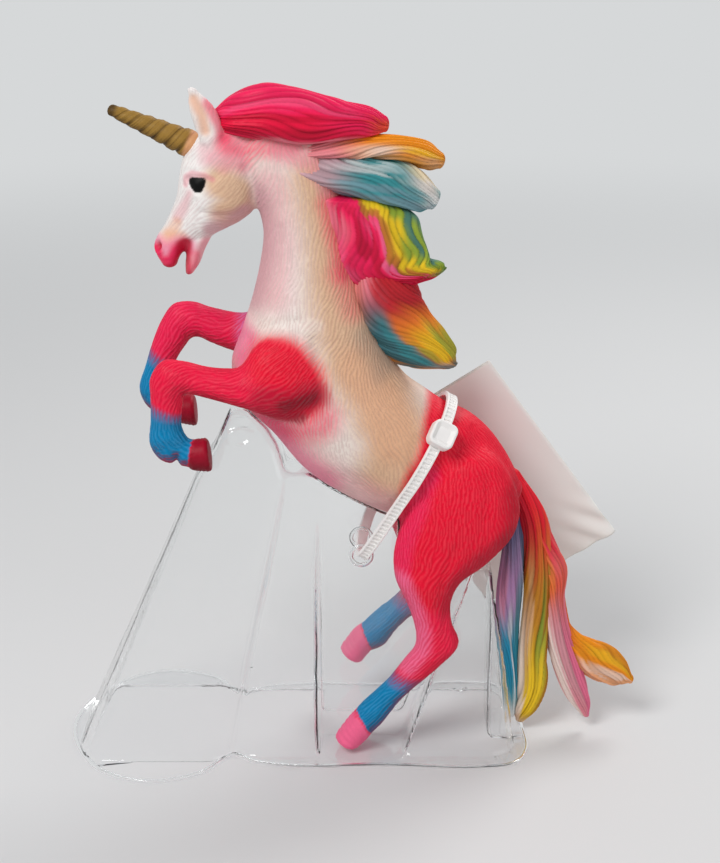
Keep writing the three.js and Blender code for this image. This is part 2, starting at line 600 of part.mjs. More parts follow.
const POD_CORNER = 0.35; // share of the shorter side that a corner's round takes
const FRONT_POD_STATIONS = [
  [0, -65, -28.4, FRONT_POD_HALF_DEPTH],
  [65, -36.4, -15.8, 0.43 * FRONT_POD_HALF_DEPTH],
  [72, -32, -18, 0.34 * FRONT_POD_HALF_DEPTH],
  [80.5, -28.6, -23.4, 0.16 * FRONT_POD_HALF_DEPTH],
];
const REAR_POD_STATIONS = [
  [0, -30, 35.6, REAR_POD_HALF_DEPTH],
  [40, -24, 31.4, 0.48 * REAR_POD_HALF_DEPTH],
  [66, -20, 12, 0.36 * REAR_POD_HALF_DEPTH],
];
const RECESS_FRONT_X = -9.6;
const RECESS_BACK_X = 9.6; // at the floor
const RECESS_BACK_TOP_X = 25.4;
const RECESS_TOP_Z = 44;
const RELIEF = [
  [9, 80],
  [9, 47],
  [40, 41],
  [40, 80],
];
const TAIL_GROOVE_X = 30.1; // floor of the groove that lets the tail hang against the stand's back
const TAIL_GROOVE_HALF_WIDTH = 7;
const BELOW = 3; // how far a cutting solid reaches past the face it opens
const CUT_TOP_Z = 90; // above everything that is cut
const CUT_BACK_X = 60; // behind everything that is cut
const CUT_SIDE_Y = 40; // beside everything that is cut

// A rounded rectangle seen from above.
function podRing(z, front, back, halfDepth, inset) {
  const halfLength = (back - front) / 2 - inset;
  const depth = halfDepth - inset;
  const round = POD_CORNER * Math.min(halfLength, depth);
  const ring = [];
  for (const [sideX, sideY, quarter] of ROUND_CORNERS) {
    for (let k = 0; k <= 2; k++) {
      const angle = (quarter + k / 2) * 0.5 * Math.PI;
      const x = (front + back) / 2 + sideX * (halfLength - round) + round * Math.cos(angle);
      const y = sideY * (depth - round) + round * Math.sin(angle);
      ring.push(new THREE.Vector3(x, y, z));
    }
  }
  return ring;
}

function pod(stations, inset) {
  const levels = stations.map((station) => podRing(...station, inset));
  const top = levels[levels.length - 1];
  const lowered = inset > 0 ? top.map((p) => p.clone().setZ(p.z - inset)) : top;
  levels[levels.length - 1] = lowered;
  if (inset > 0) levels.unshift(levels[0].map((p) => p.clone().setZ(-BELOW)));
  const centre = (ring) => ring.reduce((sum, p) => sum.add(p), new THREE.Vector3()).divideScalar(ring.length);
  return skinOver(levels, centre(levels[0]), centre(lowered));
}

// A side-view outline drawn across the depth between two y values.
function slab(outline, fromY, toY) {
  const shape = new THREE.Shape(outline.map(([x, z]) => new THREE.Vector2(x, z)));
  const geometry = new THREE.ExtrudeGeometry(shape, { depth: toY - fromY, bevelEnabled: false });
  geometry.rotateX(Math.PI / 2);
  geometry.translate(0, toY, 0);
  return solidOfGeometry(geometry);
}

function recess(grow) {
  const outline = [
    [RECESS_FRONT_X - grow, -BELOW],
    [RECESS_BACK_X + grow, -BELOW],
    [RECESS_BACK_X + grow, 0],
    [RECESS_BACK_TOP_X + grow, RECESS_TOP_Z + grow],
    [RECESS_BACK_TOP_X + grow, CUT_TOP_Z],
    [RECESS_FRONT_X - grow, CUT_TOP_Z],
  ];
  const near = slab(outline, -CUT_SIDE_Y, grow - WEB_HALF_DEPTH);
  return near.add(mirrored(near));
}

function tailGroove(grow) {
  const front = TAIL_GROOVE_X - grow;
  const outline = [
    [front, -BELOW],
    [CUT_BACK_X, -BELOW],
    [CUT_BACK_X, CUT_TOP_Z],
    [front, CUT_TOP_Z],
  ];
  return slab(outline, -TAIL_GROOVE_HALF_WIDTH - grow, TAIL_GROOVE_HALF_WIDTH + grow);
}

function standForm(inset) {
  const pods = joined(pod(FRONT_POD_STATIONS, inset), pod(REAR_POD_STATIONS, inset));
  const relief = slab(RELIEF.map(([x, z]) => [x - inset, z - inset]), -CUT_SIDE_Y, CUT_SIDE_Y);
  return pods
    .subtract(recess(inset))
    .subtract(relief)
    .subtract(tailGroove(inset))
    .subtract(bodyLoft(CLEARANCE + inset))
    .subtract(legLoft(LEFT_HIND_STATIONS, LEFT_HINDHOOF_STATIONS, CLEARANCE + inset))
    .subtract(legLoft(RIGHT_HIND_STATIONS, RIGHT_HINDHOOF_STATIONS, CLEARANCE + inset));
}

const FLANGE_OUTLINE = [
  [-68, 0],
  [-65.5, 0.4 * FRONT_FLANGE_HALF_DEPTH],
  [-58, 0.82 * FRONT_FLANGE_HALF_DEPTH],
  [-47, FRONT_FLANGE_HALF_DEPTH],
  [-36, 0.86 * FRONT_FLANGE_HALF_DEPTH],
  [-29, 0.55 * FRONT_FLANGE_HALF_DEPTH],
  [-24, 0.86 * REAR_FLANGE_HALF_DEPTH],
  [-14, 0.96 * REAR_FLANGE_HALF_DEPTH],
  [6, 0.94 * REAR_FLANGE_HALF_DEPTH],
  [26, REAR_FLANGE_HALF_DEPTH],
  [35, 0.9 * REAR_FLANGE_HALF_DEPTH],
  [38.6, 0.6 * REAR_FLANGE_HALF_DEPTH],
  [38.6, 0],
];
function flangePlate() {
  const far = FLANGE_OUTLINE.slice(1, -1);
  const near = far.map(([x, y]) => [x, -y]).reverse();
  const around = [FLANGE_OUTLINE[0], ...far, FLANGE_OUTLINE[FLANGE_OUTLINE.length - 1], ...near];
  const outline = new THREE.CatmullRomCurve3(
    around.map(([x, y]) => new THREE.Vector3(x, y, 0)),
    true,
  );
  const points = outline.getPoints(48).slice(0, -1);
  const shape = new THREE.Shape(points.map((p) => new THREE.Vector2(p.x, p.y)));
  return solidOfGeometry(new THREE.ExtrudeGeometry(shape, { depth: STAND_WALL, bevelEnabled: false }));
}

const EYELET = new THREE.Vector3(0.3, 0, 46.4);
const eyelet = rod(EYELET.clone().setY(-CUT_SIDE_Y), EYELET.clone().setY(CUT_SIDE_Y), EYELET_RADIUS);
const inside = standForm(STAND_WALL);
const stand = largest(joined(standForm(0), flangePlate()).subtract(inside).subtract(eyelet));

// Cable tie: a closed strap from the eyelet round the waist, with its square head high on the left flank.
// The strap lies in the plane through the eyelet and the back; s runs up that plane, y across.

const WAIST_TOP = new THREE.Vector3(19.6, 0, 80.9);
const TIE_UP = WAIST_TOP.clone().sub(EYELET).normalize();
const TIE_ACROSS = new THREE.Vector3(-TIE_UP.z, 0, TIE_UP.x);
const STRAP_LIFT = 1.6 * CLEARANCE + 0.5 * STRAP_THICKNESS; // strap middle above the skin
const WAIST_BOTTOM_S = 11;
const WAIST_TOP_S = WAIST_TOP.distanceTo(EYELET);
const WAIST_MIDDLE_S = (WAIST_BOTTOM_S + WAIST_TOP_S) / 2;
const WAIST_HALF_HEIGHT = (WAIST_TOP_S - WAIST_BOTTOM_S) / 2 + STRAP_LIFT + 0.2;
const WAIST_HALF_WIDTH = (WAIST_SHARE + 0.03) * BARREL_HALF_WIDTH + STRAP_LIFT + 0.2;
const STRAP_PIECES = 52; // straight lengths that stand for the strap's curve
const TIE_HEAD_DEG = 38; // where the head sits, above the widest place

const waistPoint = (degrees) => {
  const angle = THREE.MathUtils.degToRad(degrees);
  return [WAIST_HALF_WIDTH * Math.cos(angle), WAIST_MIDDLE_S + WAIST_HALF_HEIGHT * Math.sin(angle)];
};
const inTiePlane = ([y, s]) => EYELET.clone().addScaledVector(TIE_UP, s).setY(y);

// The tag hangs on the strap's right run, out from the flank, and leans to clear the hip.
const TAG_HOLE_S = WAIST_MIDDLE_S + 1;
const TAG_HOLE_Y = WAIST_HALF_WIDTH + TAG_STANDS_OFF;
const TAG_HOLE = inTiePlane([TAG_HOLE_Y, TAG_HOLE_S]);
const HIP_OUTER_Y = 1.05 * THIGH_SPREAD + THIGH_HALF_WIDTH;
const HIP_Z = 56;
const TAG_LEAN = Math.atan2(HIP_OUTER_Y + HIP_ROOM - TAG_HOLE_Y, TAG_HOLE.z - HIP_Z);
const TAG_THICKNESS = 2 * TAG_LEAF + TAG_LEAF_GAP;

// The strap comes over the back, goes out through the tag's hole and on down past the tag's open side edge.
function strapPath() {
  const low = WEB_HALF_DEPTH + 1.6;
  const apart = 0.5 * TAG_THICKNESS + 0.5 * STRAP_THICKNESS + 1.6 * CLEARANCE;
  const besideTag = (up, out) => [TAG_HOLE_Y - Math.tan(TAG_LEAN) * TIE_UP.z * up + out, TAG_HOLE_S + up];
  const edgeBelow =
    (TAG_WIDTH - TAG_HOLE_FROM_FOLD) / (TIE_UP.x * Math.cos(TAG_SLOPE) + TIE_UP.z * Math.sin(TAG_SLOPE));
  const thread = 1.1 * TAG_HOLE_RADIUS;
  const right = [
    [0.5 * low, 0],
    [low, 0.9],
    besideTag(-edgeBelow - TAG_EDGE_ROOM, apart),
    besideTag(-thread, apart),
    besideTag(0, 0),
    besideTag(thread, -apart),
    waistPoint(42),
    waistPoint(66),
  ];
  const left = [
    ...[66, 42, 18, -6, -24].map(waistPoint),
    [low, 0.9],
    [0.5 * low, 0],
  ];
  const around = [...right, waistPoint(90), ...left.map(([y, s]) => [-y, s])];
  const curve = new THREE.CatmullRomCurve3(
    around.map(([y, s]) => new THREE.Vector3(y, s, 0)),
    true,
  );
  return curve.getSpacedPoints(STRAP_PIECES).slice(0, -1).map((p) => [p.x, p.y]);
}

// The corners of the strap's section: side across the width, side through the thickness.
const STRAP_CORNERS = [
  [-1, -1],
  [1, -1],
  [1, 1],
  [-1, 1],
];

function strapLoop() {
  const path = strapPath();
  const count = path.length;
  const positions = [];
  const triangles = [];
  for (let i = 0; i < count; i++) {
    const [y0, s0] = path[(i + count - 1) % count];
    const [y1, s1] = path[(i + 1) % count];
    const length = Math.hypot(y1 - y0, s1 - s0);
    const outward = [(s1 - s0) / length, (y0 - y1) / length];
    for (const [side, level] of STRAP_CORNERS) {
      const lift = 0.5 * level * STRAP_THICKNESS;
      const corner = inTiePlane([path[i][0] + outward[0] * lift, path[i][1] + outward[1] * lift]);
      corner.addScaledVector(TIE_ACROSS, 0.5 * side * STRAP_WIDTH);
      positions.push(corner.x, corner.y, corner.z);
    }
    for (let k = 0; k < 4; k++) {
      const here = [4 * i + k, 4 * i + ((k + 1) % 4)];
      const next = here.map((index) => (index + 4) % (4 * count));
      triangles.push(here[0], here[1], next[0], next[0], here[1], next[1]);
    }
  }
  return solidOf(positions, triangles);
}

function tieHead() {
  const [y, s] = waistPoint(TIE_HEAD_DEG);
  const [yAbove, sAbove] = waistPoint(TIE_HEAD_DEG + 4);
  const along = inTiePlane([-yAbove, sAbove]).sub(inTiePlane([-y, s])).normalize();
  const outward = new THREE.Vector3().crossVectors(along, TIE_ACROSS).normalize();
  if (outward.y > 0) outward.negate();
  const halfWidth = 0.5 * TIE_HEAD_WIDTH;
  const halfLength = 0.5 * TIE_HEAD_LENGTH;
  const face = new THREE.Shape();
  for (const [sideX, sideY, quarter] of ROUND_CORNERS) {
    const centre = [sideX * (halfWidth - TIE_HEAD_CORNER), sideY * (halfLength - TIE_HEAD_CORNER)];
    const from = 0.5 * Math.PI * quarter;
    face.absarc(...centre, TIE_HEAD_CORNER, from, from + 0.5 * Math.PI, false);
  }
  const bevel = 0.4;
  const geometry = new THREE.ExtrudeGeometry(face, {
    depth: TIE_HEAD_HEIGHT - 2 * bevel,
    bevelThickness: bevel,
    bevelSize: bevel,
    bevelOffset: -bevel,
    bevelSegments: 1,
    curveSegments: 3,
  });
  geometry.translate(0, 0, bevel - 0.5 * TIE_HEAD_HEIGHT);
  geometry.applyMatrix4(new THREE.Matrix4().makeBasis(TIE_ACROSS, along, outward));
  const middle = inTiePlane([-y, s]).addScaledVector(outward, 0.5 * (TIE_HEAD_HEIGHT - STRAP_THICKNESS));
  geometry.translate(middle.x, middle.y, middle.z);
  return solidOfGeometry(geometry);
}

const tie = largest(joined(strapLoop(), tieHead()).subtract(bodyWithGap).subtract(hindsWithGap));

// Tag: a folded leaflet threaded on the tie beside the right flank, leaning out over the hip.

function tagLeaflet() {
  const foldEdge = TAG_HOLE_FROM_FOLD;
  const openEdge = foldEdge - TAG_WIDTH;
  const leaf = (offset) => {
    const shape = new THREE.Shape();
    const top = TAG_HOLE_INSET;
    shape.moveTo(openEdge, top);
    shape.lineTo(openEdge, top - TAG_LENGTH);
    shape.lineTo(foldEdge, top - TAG_LENGTH);
    shape.lineTo(foldEdge, top);
    const hole = new THREE.Path();
    hole.absarc(0, 0, TAG_HOLE_RADIUS, 0, 2 * Math.PI, true);
    shape.holes.push(hole);
    const sheet = { depth: TAG_LEAF, bevelEnabled: false, curveSegments: 10 };
    const geometry = new THREE.ExtrudeGeometry(shape, sheet);
    geometry.translate(0, 0, offset);
    return solidOfGeometry(geometry);
  };
  const apart = TAG_LEAF + TAG_LEAF_GAP;
  const fold = new THREE.BoxGeometry(2 * TAG_LEAF, TAG_LENGTH, apart + TAG_LEAF);
  fold.translate(foldEdge - TAG_LEAF, TAG_HOLE_INSET - 0.5 * TAG_LENGTH, 0);
  const back = leaf(-0.5 * apart - 0.5 * TAG_LEAF);
  const front = leaf(0.5 * apart - 0.5 * TAG_LEAF);
  return joined(back, front, solidOfGeometry(fold));
}

const tagAcross = new THREE.Vector3(1, 0, 0);
const tagUp = new THREE.Vector3(0, -Math.sin(TAG_LEAN), Math.cos(TAG_LEAN));
const tagFace = new THREE.Vector3().crossVectors(tagAcross, tagUp);
const tagPlace = new THREE.Matrix4()
  .makeBasis(tagAcross, tagUp, tagFace)
  .multiply(new THREE.Matrix4().makeRotationZ(TAG_SLOPE))
  .setPosition(TAG_HOLE);
const tag = tagLeaflet().transform(tagPlace.elements);

// The named pieces

const unicorn = new THREE.Group();
unicorn.name = "unicorn_figurine";

function addPiece(name, solid, colour, roughness, opacity = 1) {
  const mesh = solid.getMesh();
  const geometry = new THREE.BufferGeometry();
  geometry.setAttribute("position", new THREE.BufferAttribute(new Float32Array(mesh.vertProperties), 3));
  geometry.setIndex(new THREE.BufferAttribute(new Uint32Array(mesh.triVerts), 1));
  geometry.computeVertexNormals();
  const material = new THREE.MeshStandardMaterial({ color: colour, roughness, metalness: 0 });
  material.transparent = opacity < 1;
  material.opacity = opacity;
  const piece = new THREE.Mesh(geometry, material);
  piece.name = name;
  unicorn.add(piece);
}

addPiece("body", body, COLOURS.body, 0.6);
addPiece("head", head, COLOURS.head, 0.6);
addPiece("horn", horn, COLOURS.horn, 0.6);
addPiece("left_foreleg", leftForeleg.solid, COLOURS.leg, 0.6);
addPiece("right_foreleg", rightForeleg.solid, COLOURS.leg, 0.6);
addPiece("left_hind_leg", leftHind.solid, COLOURS.leg, 0.6);
addPiece("right_hind_leg", rightHind.solid, COLOURS.leg, 0.6);
addPiece("mane_upper", upperMane, COLOURS.mane, 0.6);
addPiece("mane_lower", lowerMane, COLOURS.lowerMane, 0.6);
addPiece("tail", tail, COLOURS.tail, 0.6);
addPiece("clear_stand", stand, COLOURS.clear, 0.15, 0.35);
addPiece("cable_tie", tie, COLOURS.nylon, 0.4);
addPiece("hang_tag", tag, COLOURS.paper, 0.8);

// The origin is the middle of the footprint, on the table.

const bounds = new THREE.Box3().setFromObject(unicorn);
const footprintMiddle = bounds.getCenter(new THREE.Vector3());
for (const piece of unicorn.children) {
  piece.geometry.translate(-footprintMiddle.x, -footprintMiddle.y, -bounds.min.z);
}

export default unicorn;
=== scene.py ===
"""Unicorn figurine with a rainbow mane and tail, tied to a clear stand, with a paper tag."""

import math

import bmesh
import bpy
import numpy as np
from mathutils import Matrix, Vector
from mathutils.kdtree import KDTree


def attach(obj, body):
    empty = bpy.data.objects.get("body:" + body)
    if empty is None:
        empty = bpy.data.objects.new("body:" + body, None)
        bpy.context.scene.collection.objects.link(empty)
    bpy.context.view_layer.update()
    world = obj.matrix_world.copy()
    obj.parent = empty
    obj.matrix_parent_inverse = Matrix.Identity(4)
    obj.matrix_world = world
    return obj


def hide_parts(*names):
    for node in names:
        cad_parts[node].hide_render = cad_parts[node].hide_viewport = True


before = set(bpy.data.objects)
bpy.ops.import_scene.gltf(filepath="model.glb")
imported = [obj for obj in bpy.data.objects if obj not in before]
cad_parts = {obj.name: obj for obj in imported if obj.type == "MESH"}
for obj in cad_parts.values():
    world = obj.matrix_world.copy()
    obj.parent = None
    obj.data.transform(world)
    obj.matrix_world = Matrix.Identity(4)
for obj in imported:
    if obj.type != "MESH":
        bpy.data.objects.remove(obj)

bl_info = {
    "name": "Unicorn Figurine",
    "version": (1, 0, 0),
    "blender": (4, 5, 0),
    "location": "3D View > Sidebar > Unicorn",
    "description": "Builds a rearing unicorn figurine with its stand, tie and tag round a packed frame",
    "category": "Object",
}

MM = 0.001
DRAWING_SHIFT = 1.849
DRAWING_TO_FRAME = Matrix.Scale(MM, 4) @ Matrix.Translation((DRAWING_SHIFT, 0, 0))
TURN = 2 * np.pi


# Colours

def linear(hex_code):
    """Scene-linear colour of a screen colour written in hex."""
    parts = [int(hex_code[i:i + 2], 16) / 255 for i in (0, 2, 4)]
    return tuple(c / 12.92 if c <= 0.04045 else ((c + 0.055) / 1.055) ** 2.4 for c in parts)


def paint_property(label, hex_code):
    return bpy.props.FloatVectorProperty(
        name=label,
        description="Paint colour",
        subtype="COLOR",
        size=3,
        min=0,
        max=1,
        default=linear(hex_code),
    )


def length_property(label, note, millimetres):
    return bpy.props.FloatProperty(
        name=label,
        description=note,
        unit="LENGTH",
        subtype="DISTANCE",
        default=millimetres * MM,
        min=0,
        precision=5,
    )


class UnicornPaints(bpy.types.PropertyGroup):
    """Paint colours of the figurine."""

    cream: paint_property("Cream", "f2e4da")
    white: paint_property("White", "f3eeea")
    tan: paint_property("Tan", "dfb48e")
    peach: paint_property("Peach", "eaa87e")
    mauve: paint_property("Mauve", "cf9ba2")
    lilac: paint_property("Lilac", "c07fb4")
    blush: paint_property("Blush", "e88a98")
    pink: paint_property("Pink", "f5709a")
    hot_pink: paint_property("Hot pink", "f2235a")
    red: paint_property("Red", "f00c33")
    crimson: paint_property("Crimson", "bd0f30")
    maroon: paint_property("Maroon", "70081c")
    orange: paint_property("Orange", "f0921c")
    coral: paint_property("Coral", "ef5a38")
    ochre: paint_property("Ochre", "b87a24")
    yellow: paint_property("Yellow", "efc727")
    green: paint_property("Green", "86a63c")
    teal: paint_property("Teal", "3d9297")
    deep_teal: paint_property("Deep teal", "1d6f7c")
    grey_blue: paint_property("Grey blue", "7f98a4")
    sky_blue: paint_property("Sky blue", "0086ba")
    # Laid only as painted shade on the undersides of the blue legs
    painted_shade_blue: paint_property("Deep blue", "083f63")
    violet: paint_property("Violet", "4d4a7c")
    horn_gold: paint_property("Horn gold", "9a7636")
    horn_brown: paint_property("Horn brown", "3d2a12")
    black: paint_property("Black", "040404")
    nylon: paint_property("Nylon", "f1eeeb")
    paper: paint_property("Paper", "efede8")


class UnicornSizes(bpy.types.PropertyGroup):
    """Sizes of the surface work that a user may change."""

    skin_grain: length_property("Skin grain", "Spacing of the points in the animal's skin", 0.3125)
    fur_depth: length_property("Fur depth", "Depth of the moulded hair strokes", 0.095)
    strand_depth: length_property("Strand depth", "Depth of the grooves in mane and tail", 0.7)
    rib_pitch: length_property("Rib pitch", "Distance between the ribs of the cable tie", 1.05)
    leaf: length_property("Leaf", "Thickness of one leaf of the paper tag", 0.3)


def tone(name):
    return np.array(getattr(bpy.context.scene.unicorn_paints, name))


def size_mm(name):
    return getattr(bpy.context.scene.unicorn_sizes, name) / MM


# Stations of the lofts, in millimetres of the drawing frame: the side view's two edge points x, z,
# then shares of a half-width across and of the middle's y

BARREL = 12.8
NECK = 6.0
CHEEK = 5.9
MUZZLE = 3.8
EAR = 3.0
EAR_SPREAD = 4.2
CANNON = 3.0
HOOF = 3.6
FORELEG = 9.6
THIGH = 6.4
HIP = 8.2
HIND = 11.0


def stations(width, offset, rows):
    """Completes rows whose last two numbers are shares of a half-width and of the middle's y."""
    return [row[:4] + (row[4] * width, row[5] * offset) for row in rows]


def centred(width, rows):
    """Stations on the middle plane, whose rows leave the middle's y out."""
    return stations(width, 0, [row + (0,) for row in rows])


BODY = centred(NECK, [
    (-26, 131.5, -18, 143, 0.8),
    (-21.5, 124.5, -10, 139.5, 0.95),
    (-20.4, 119.5, -4.5, 129.5, 1.05),
    (-21.2, 113, -2, 119, 1.15),
    (-23, 105.5, -0.3, 109.5, 1.4),
]) + centred(BARREL, [
    (-25.5, 98, 2.5, 101.5, 0.8),
    (-28, 90, 6, 93, 0.93),
    (-25.5, 81.5, 10, 87.2, 1),
    (-19.5, 75.2, 14.5, 83.8, 1.03),
    (-12.5, 66.5, 19, 80.8, 1),
    (-4, 60.4, 24, 78.6, 0.92),
    (5, 56, 28.5, 74.8, 0.87),
    (13, 53, 32.5, 69.2, 0.86),
    (22, 52.5, 35.6, 63.2, 0.72),
])
SKULL = centred(CHEEK, [
    (-29.5, 142.6, -22, 137.5, 0.74),
    (-34, 139.8, -20.8, 131, 0.95),
    (-36.8, 135.4, -22, 124.8, 1),
    (-37.9, 131, -25, 122, 0.96),
    (-38.6, 127, -28, 120.4, 0.82),
    (-39.9, 123.8, -30.8, 119, 0.72),
]) + centred(MUZZLE, [
    (-41.6, 120.6, -33.2, 117.4, 0.97),
])
UPPER_LIP = centred(MUZZLE, [
    (-41, 121.4, -34.5, 118.6, 0.97),
    (-43.3, 118, -37, 115.8, 1),
    (-43.5, 115.2, -38.2, 114.4, 0.97),
    (-42.3, 112.8, -38.9, 113, 0.78),
])
LOWER_LIP = centred(MUZZLE, [
    (-37, 118, -31.5, 118.4, 0.85),
    (-37, 115, -33, 115.6, 0.76),
    (-37.3, 112.4, -34.1, 112.8, 0.68),
    (-37.3, 110.9, -35.4, 110.9, 0.55),
])
EAR_SHELL = stations(EAR, -EAR_SPREAD, [
    (-32.6, 138, -27.6, 139.2, 0.45, 0.85),
    (-34, 142.5, -28.4, 143.4, 0.5, 1),
    (-35, 146.4, -30.2, 146.9, 0.42, 1.08),
    (-35, 149, -32.8, 149.4, 0.25, 1.1),
])
LEFT_FORELEG = stations(CANNON, -FORELEG, [
    (-17, 99, -7, 87.5, 1.5, 0.78),
    (-22, 96.5, -8.6, 82, 1.75, 0.92),
    (-25.4, 92.2, -16.5, 80.9, 1.7, 1),
    (-28.8, 91.8, -24.5, 83.3, 1.45, 1.02),
    (-33, 92.3, -31, 85.2, 1.22, 1.02),
    (-37.2, 93.4, -35.4, 86.3, 1.17, 1.02),
    (-41.9, 93.6, -37.4, 86.4, 1.22, 1.02),
    (-44.6, 89.8, -37.9, 85, 1.14, 1.02),
    (-44.7, 85.8, -38.2, 82.6, 1.04, 1.02),
    (-44.9, 80.4, -38.5, 79.4, 1, 1.02),
    (-45.3, 75, -37.9, 77.3, 1.13, 1.02),
    (-43.2, 71.6, -37.4, 76.4, 1.08, 1.02),
    (-40, 70.4, -37.1, 76, 1, 1.02),
    (-36, 69.7, -35.8, 75.6, 0.95, 1.02),
])
LEFT_FOREHOOF = stations(HOOF, -FORELEG, [
    (-36.9, 69.4, -36.3, 75.6, 0.88, 1.02),
    (-35.8, 69, -35.6, 75.8, 0.96, 1.02),
    (-32.2, 68.7, -33.2, 76.2, 1.02, 1.02),
])
RIGHT_FORELEG = stations(CANNON, FORELEG, [
    (-17, 102, -8, 90, 1.5, 0.78),
    (-21.5, 100.4, -17, 88, 1.7, 0.92),
    (-26, 98.7, -25.5, 89.4, 1.5, 1),
    (-33.4, 100, -33, 92, 1.25, 1.02),
    (-37, 101.2, -36, 93.4, 1.17, 1.02),
    (-41.3, 100.8, -37.8, 93, 1.2, 1.02),
    (-44, 97.4, -38.8, 91.8, 1.12, 1.02),
    (-46.4, 92, -41.2, 88.2, 1.04, 1.02),
    (-48.1, 86.8, -42.5, 84.2, 1, 1.02),
    (-49.8, 81.2, -43, 81.7, 1.13, 1.02),
    (-48.4, 77.4, -42.8, 80.6, 1.08, 1.02),
    (-45, 74.8, -42.3, 80, 1, 1.02),
    (-41, 73.4, -40.6, 79.4, 0.95, 1.02),
])
RIGHT_FOREHOOF = stations(HOOF, FORELEG, [
    (-41.9, 73.4, -41, 79.5, 0.88, 1.02),
    (-40.8, 72.9, -40.2, 79.6, 0.96, 1.02),
    (-37.2, 72.2, -37.8, 79.6, 1.02, 1.02),
])
LEFT_HIND_LEG = stations(THIGH, -HIP, [
    (20.5, 74.4, 26.6, 74, 0.25, 0.55),
    (16.5, 70, 31, 69.5, 0.8, 0.82),
    (11.2, 61, 35, 61, 1, 0.98),
    (8.8, 54.5, 34.2, 54, 1, 1.05),
    (7.5, 48, 28.5, 47, 0.88, 1.12),
]) + stations(THIGH, -HIND, [
    (8, 43, 22.5, 42.4, 0.76, 0.9),
]) + stations(CANNON, -HIND, [
    (10.7, 37, 20.4, 38, 1.35, 0.94),
    (12.5, 31, 20.5, 32.6, 1.24, 0.97),
    (12.5, 26.8, 22.2, 27.4, 1.28, 0.99),
    (9.8, 22.8, 18, 22.1, 1.2, 1),
    (6.2, 17.8, 11.8, 16.1, 1.02, 1),
    (3.4, 14.9, 9, 13, 1, 1),
    (0.2, 11.6, 5, 7.3, 1.1, 1),
    (-1.3, 9.6, 2.4, 4.4, 1.02, 1),
])
LEFT_HIND_HOOF = stations(HOOF, -HIND, [
    (-0.6, 10.4, 2.6, 4.6, 0.95, 1),
    (-2, 9, 1.8, 3.4, 1, 1),
    (-5.8, 3.4, -0.6, 1, 1.05, 1),
])
RIGHT_HIND_LEG = stations(THIGH, HIP, [
    (20.5, 74.4, 26.6, 74, 0.25, 0.55),
    (16.5, 70, 31, 69.5, 0.8, 0.82),
    (10.8, 61.4, 35, 61, 1, 0.98),
    (7.8, 56, 33.8, 54, 1, 1.05),
    (6.6, 51, 29, 47.8, 0.88, 1.12),
]) + stations(THIGH, HIND, [
    (8, 46.4, 23.6, 44.2, 0.76, 0.9),
]) + stations(CANNON, HIND, [
    (11.4, 42.4, 21.4, 42, 1.35, 0.94),
    (14, 38.6, 21.8, 39, 1.24, 0.97),
    (14, 34.8, 23.8, 34.4, 1.28, 0.99),
    (11.2, 31.4, 19.4, 29, 1.2, 1),
    (6.9, 27.2, 12, 23.6, 1.02, 1),
    (4.2, 25, 8.9, 20.4, 1, 1),
    (1.2, 21.9, 5.4, 15.8, 1.1, 1),
    (-0.6, 20, 2.6, 14.6, 1.02, 1),
])
RIGHT_HIND_HOOF = stations(HOOF, HIND, [
    (0.2, 21, 2.9, 15, 0.95, 1),
    (-1.2, 20, 2.2, 14, 1, 1),
    (-4.8, 15, 0.4, 11.6, 1.05, 1),
])
CREST_LOCK = stations(NECK, 1, [
    (-30.6, 144.4, -29.6, 140.5, 0.5, -0.4),
    (-26.6, 147.8, -25.4, 139.6, 0.95, -0.6),
    (-20, 150.2, -19, 138.6, 1.15, -0.6),
    (-13.6, 149.5, -12.4, 138, 1.15, -0.6),
    (-7, 147.9, -6.4, 138.4, 0.95, -0.4),
    (-1, 146.5, -0.8, 139, 0.75, 0),
    (2.8, 145.4, 2.6, 139.7, 0.55, 0),
    (5.2, 143.9, 5, 140.4, 0.3, 0),
])
ORANGE_LOCK = stations(NECK, 1, [
    (-14.5, 139, -14.5, 135.2, 0.66, -0.2),
    (-8.5, 139.4, -8.8, 134.6, 0.74, -0.4),
    (-2, 139.6, -2.4, 134.4, 0.72, -0.6),
    (4, 140, 3, 134.6, 0.66, -0.8),
    (9.2, 139.8, 9, 133.8, 0.55, -0.8),
    (14.2, 138.6, 14, 132.4, 0.42, -0.6),
    (17.2, 136.4, 16.4, 132.8, 0.24, -0.4),
])
TEAL_LOCK = stations(NECK, 1, [
    (-16, 135.4, -14.6, 130.4, 0.88, 0),
    (-10, 136, -9.4, 129.4, 0.97, -0.3),
    (-4, 136.2, -4.4, 127.8, 0.98, -0.8),
    (3, 135.5, 2, 126, 0.82, -1.1),
    (9, 134.7, 8, 124.9, 0.64, -1.2),
    (14, 132, 12.2, 124, 0.48, -1),
    (16.6, 128.8, 14.8, 124.4, 0.26, -0.8),
])
MIDDLE_LOCK = stations(NECK, 1, [
    (5, 126.4, -9.4, 127, 0.88, -0.5),
    (11.2, 123, -7.2, 119.8, 0.98, -0.9),
    (13.2, 117.6, -4.8, 112.6, 0.9, -1.2),
    (15, 114.2, 0, 107.6, 0.72, -1.2),
    (18, 113, 8.6, 107.4, 0.48, -1),
    (18.4, 112, 14.4, 108.9, 0.26, -0.8),
])
LOWER_LOCK = stations(NECK, 1, [
    (7, 116.6, -1.6, 113.6, 0.5, -0.4),
    (12.4, 107, -2.4, 104.6, 0.93, -1.3),
    (14.6, 101.8, 0.6, 96.8, 0.88, -1),
    (18.4, 97.4, 4.8, 91.6, 0.7, -1),
    (21.2, 93, 11.2, 89.3, 0.48, -0.8),
    (21.2, 90.6, 18, 89, 0.25, -0.6),
])
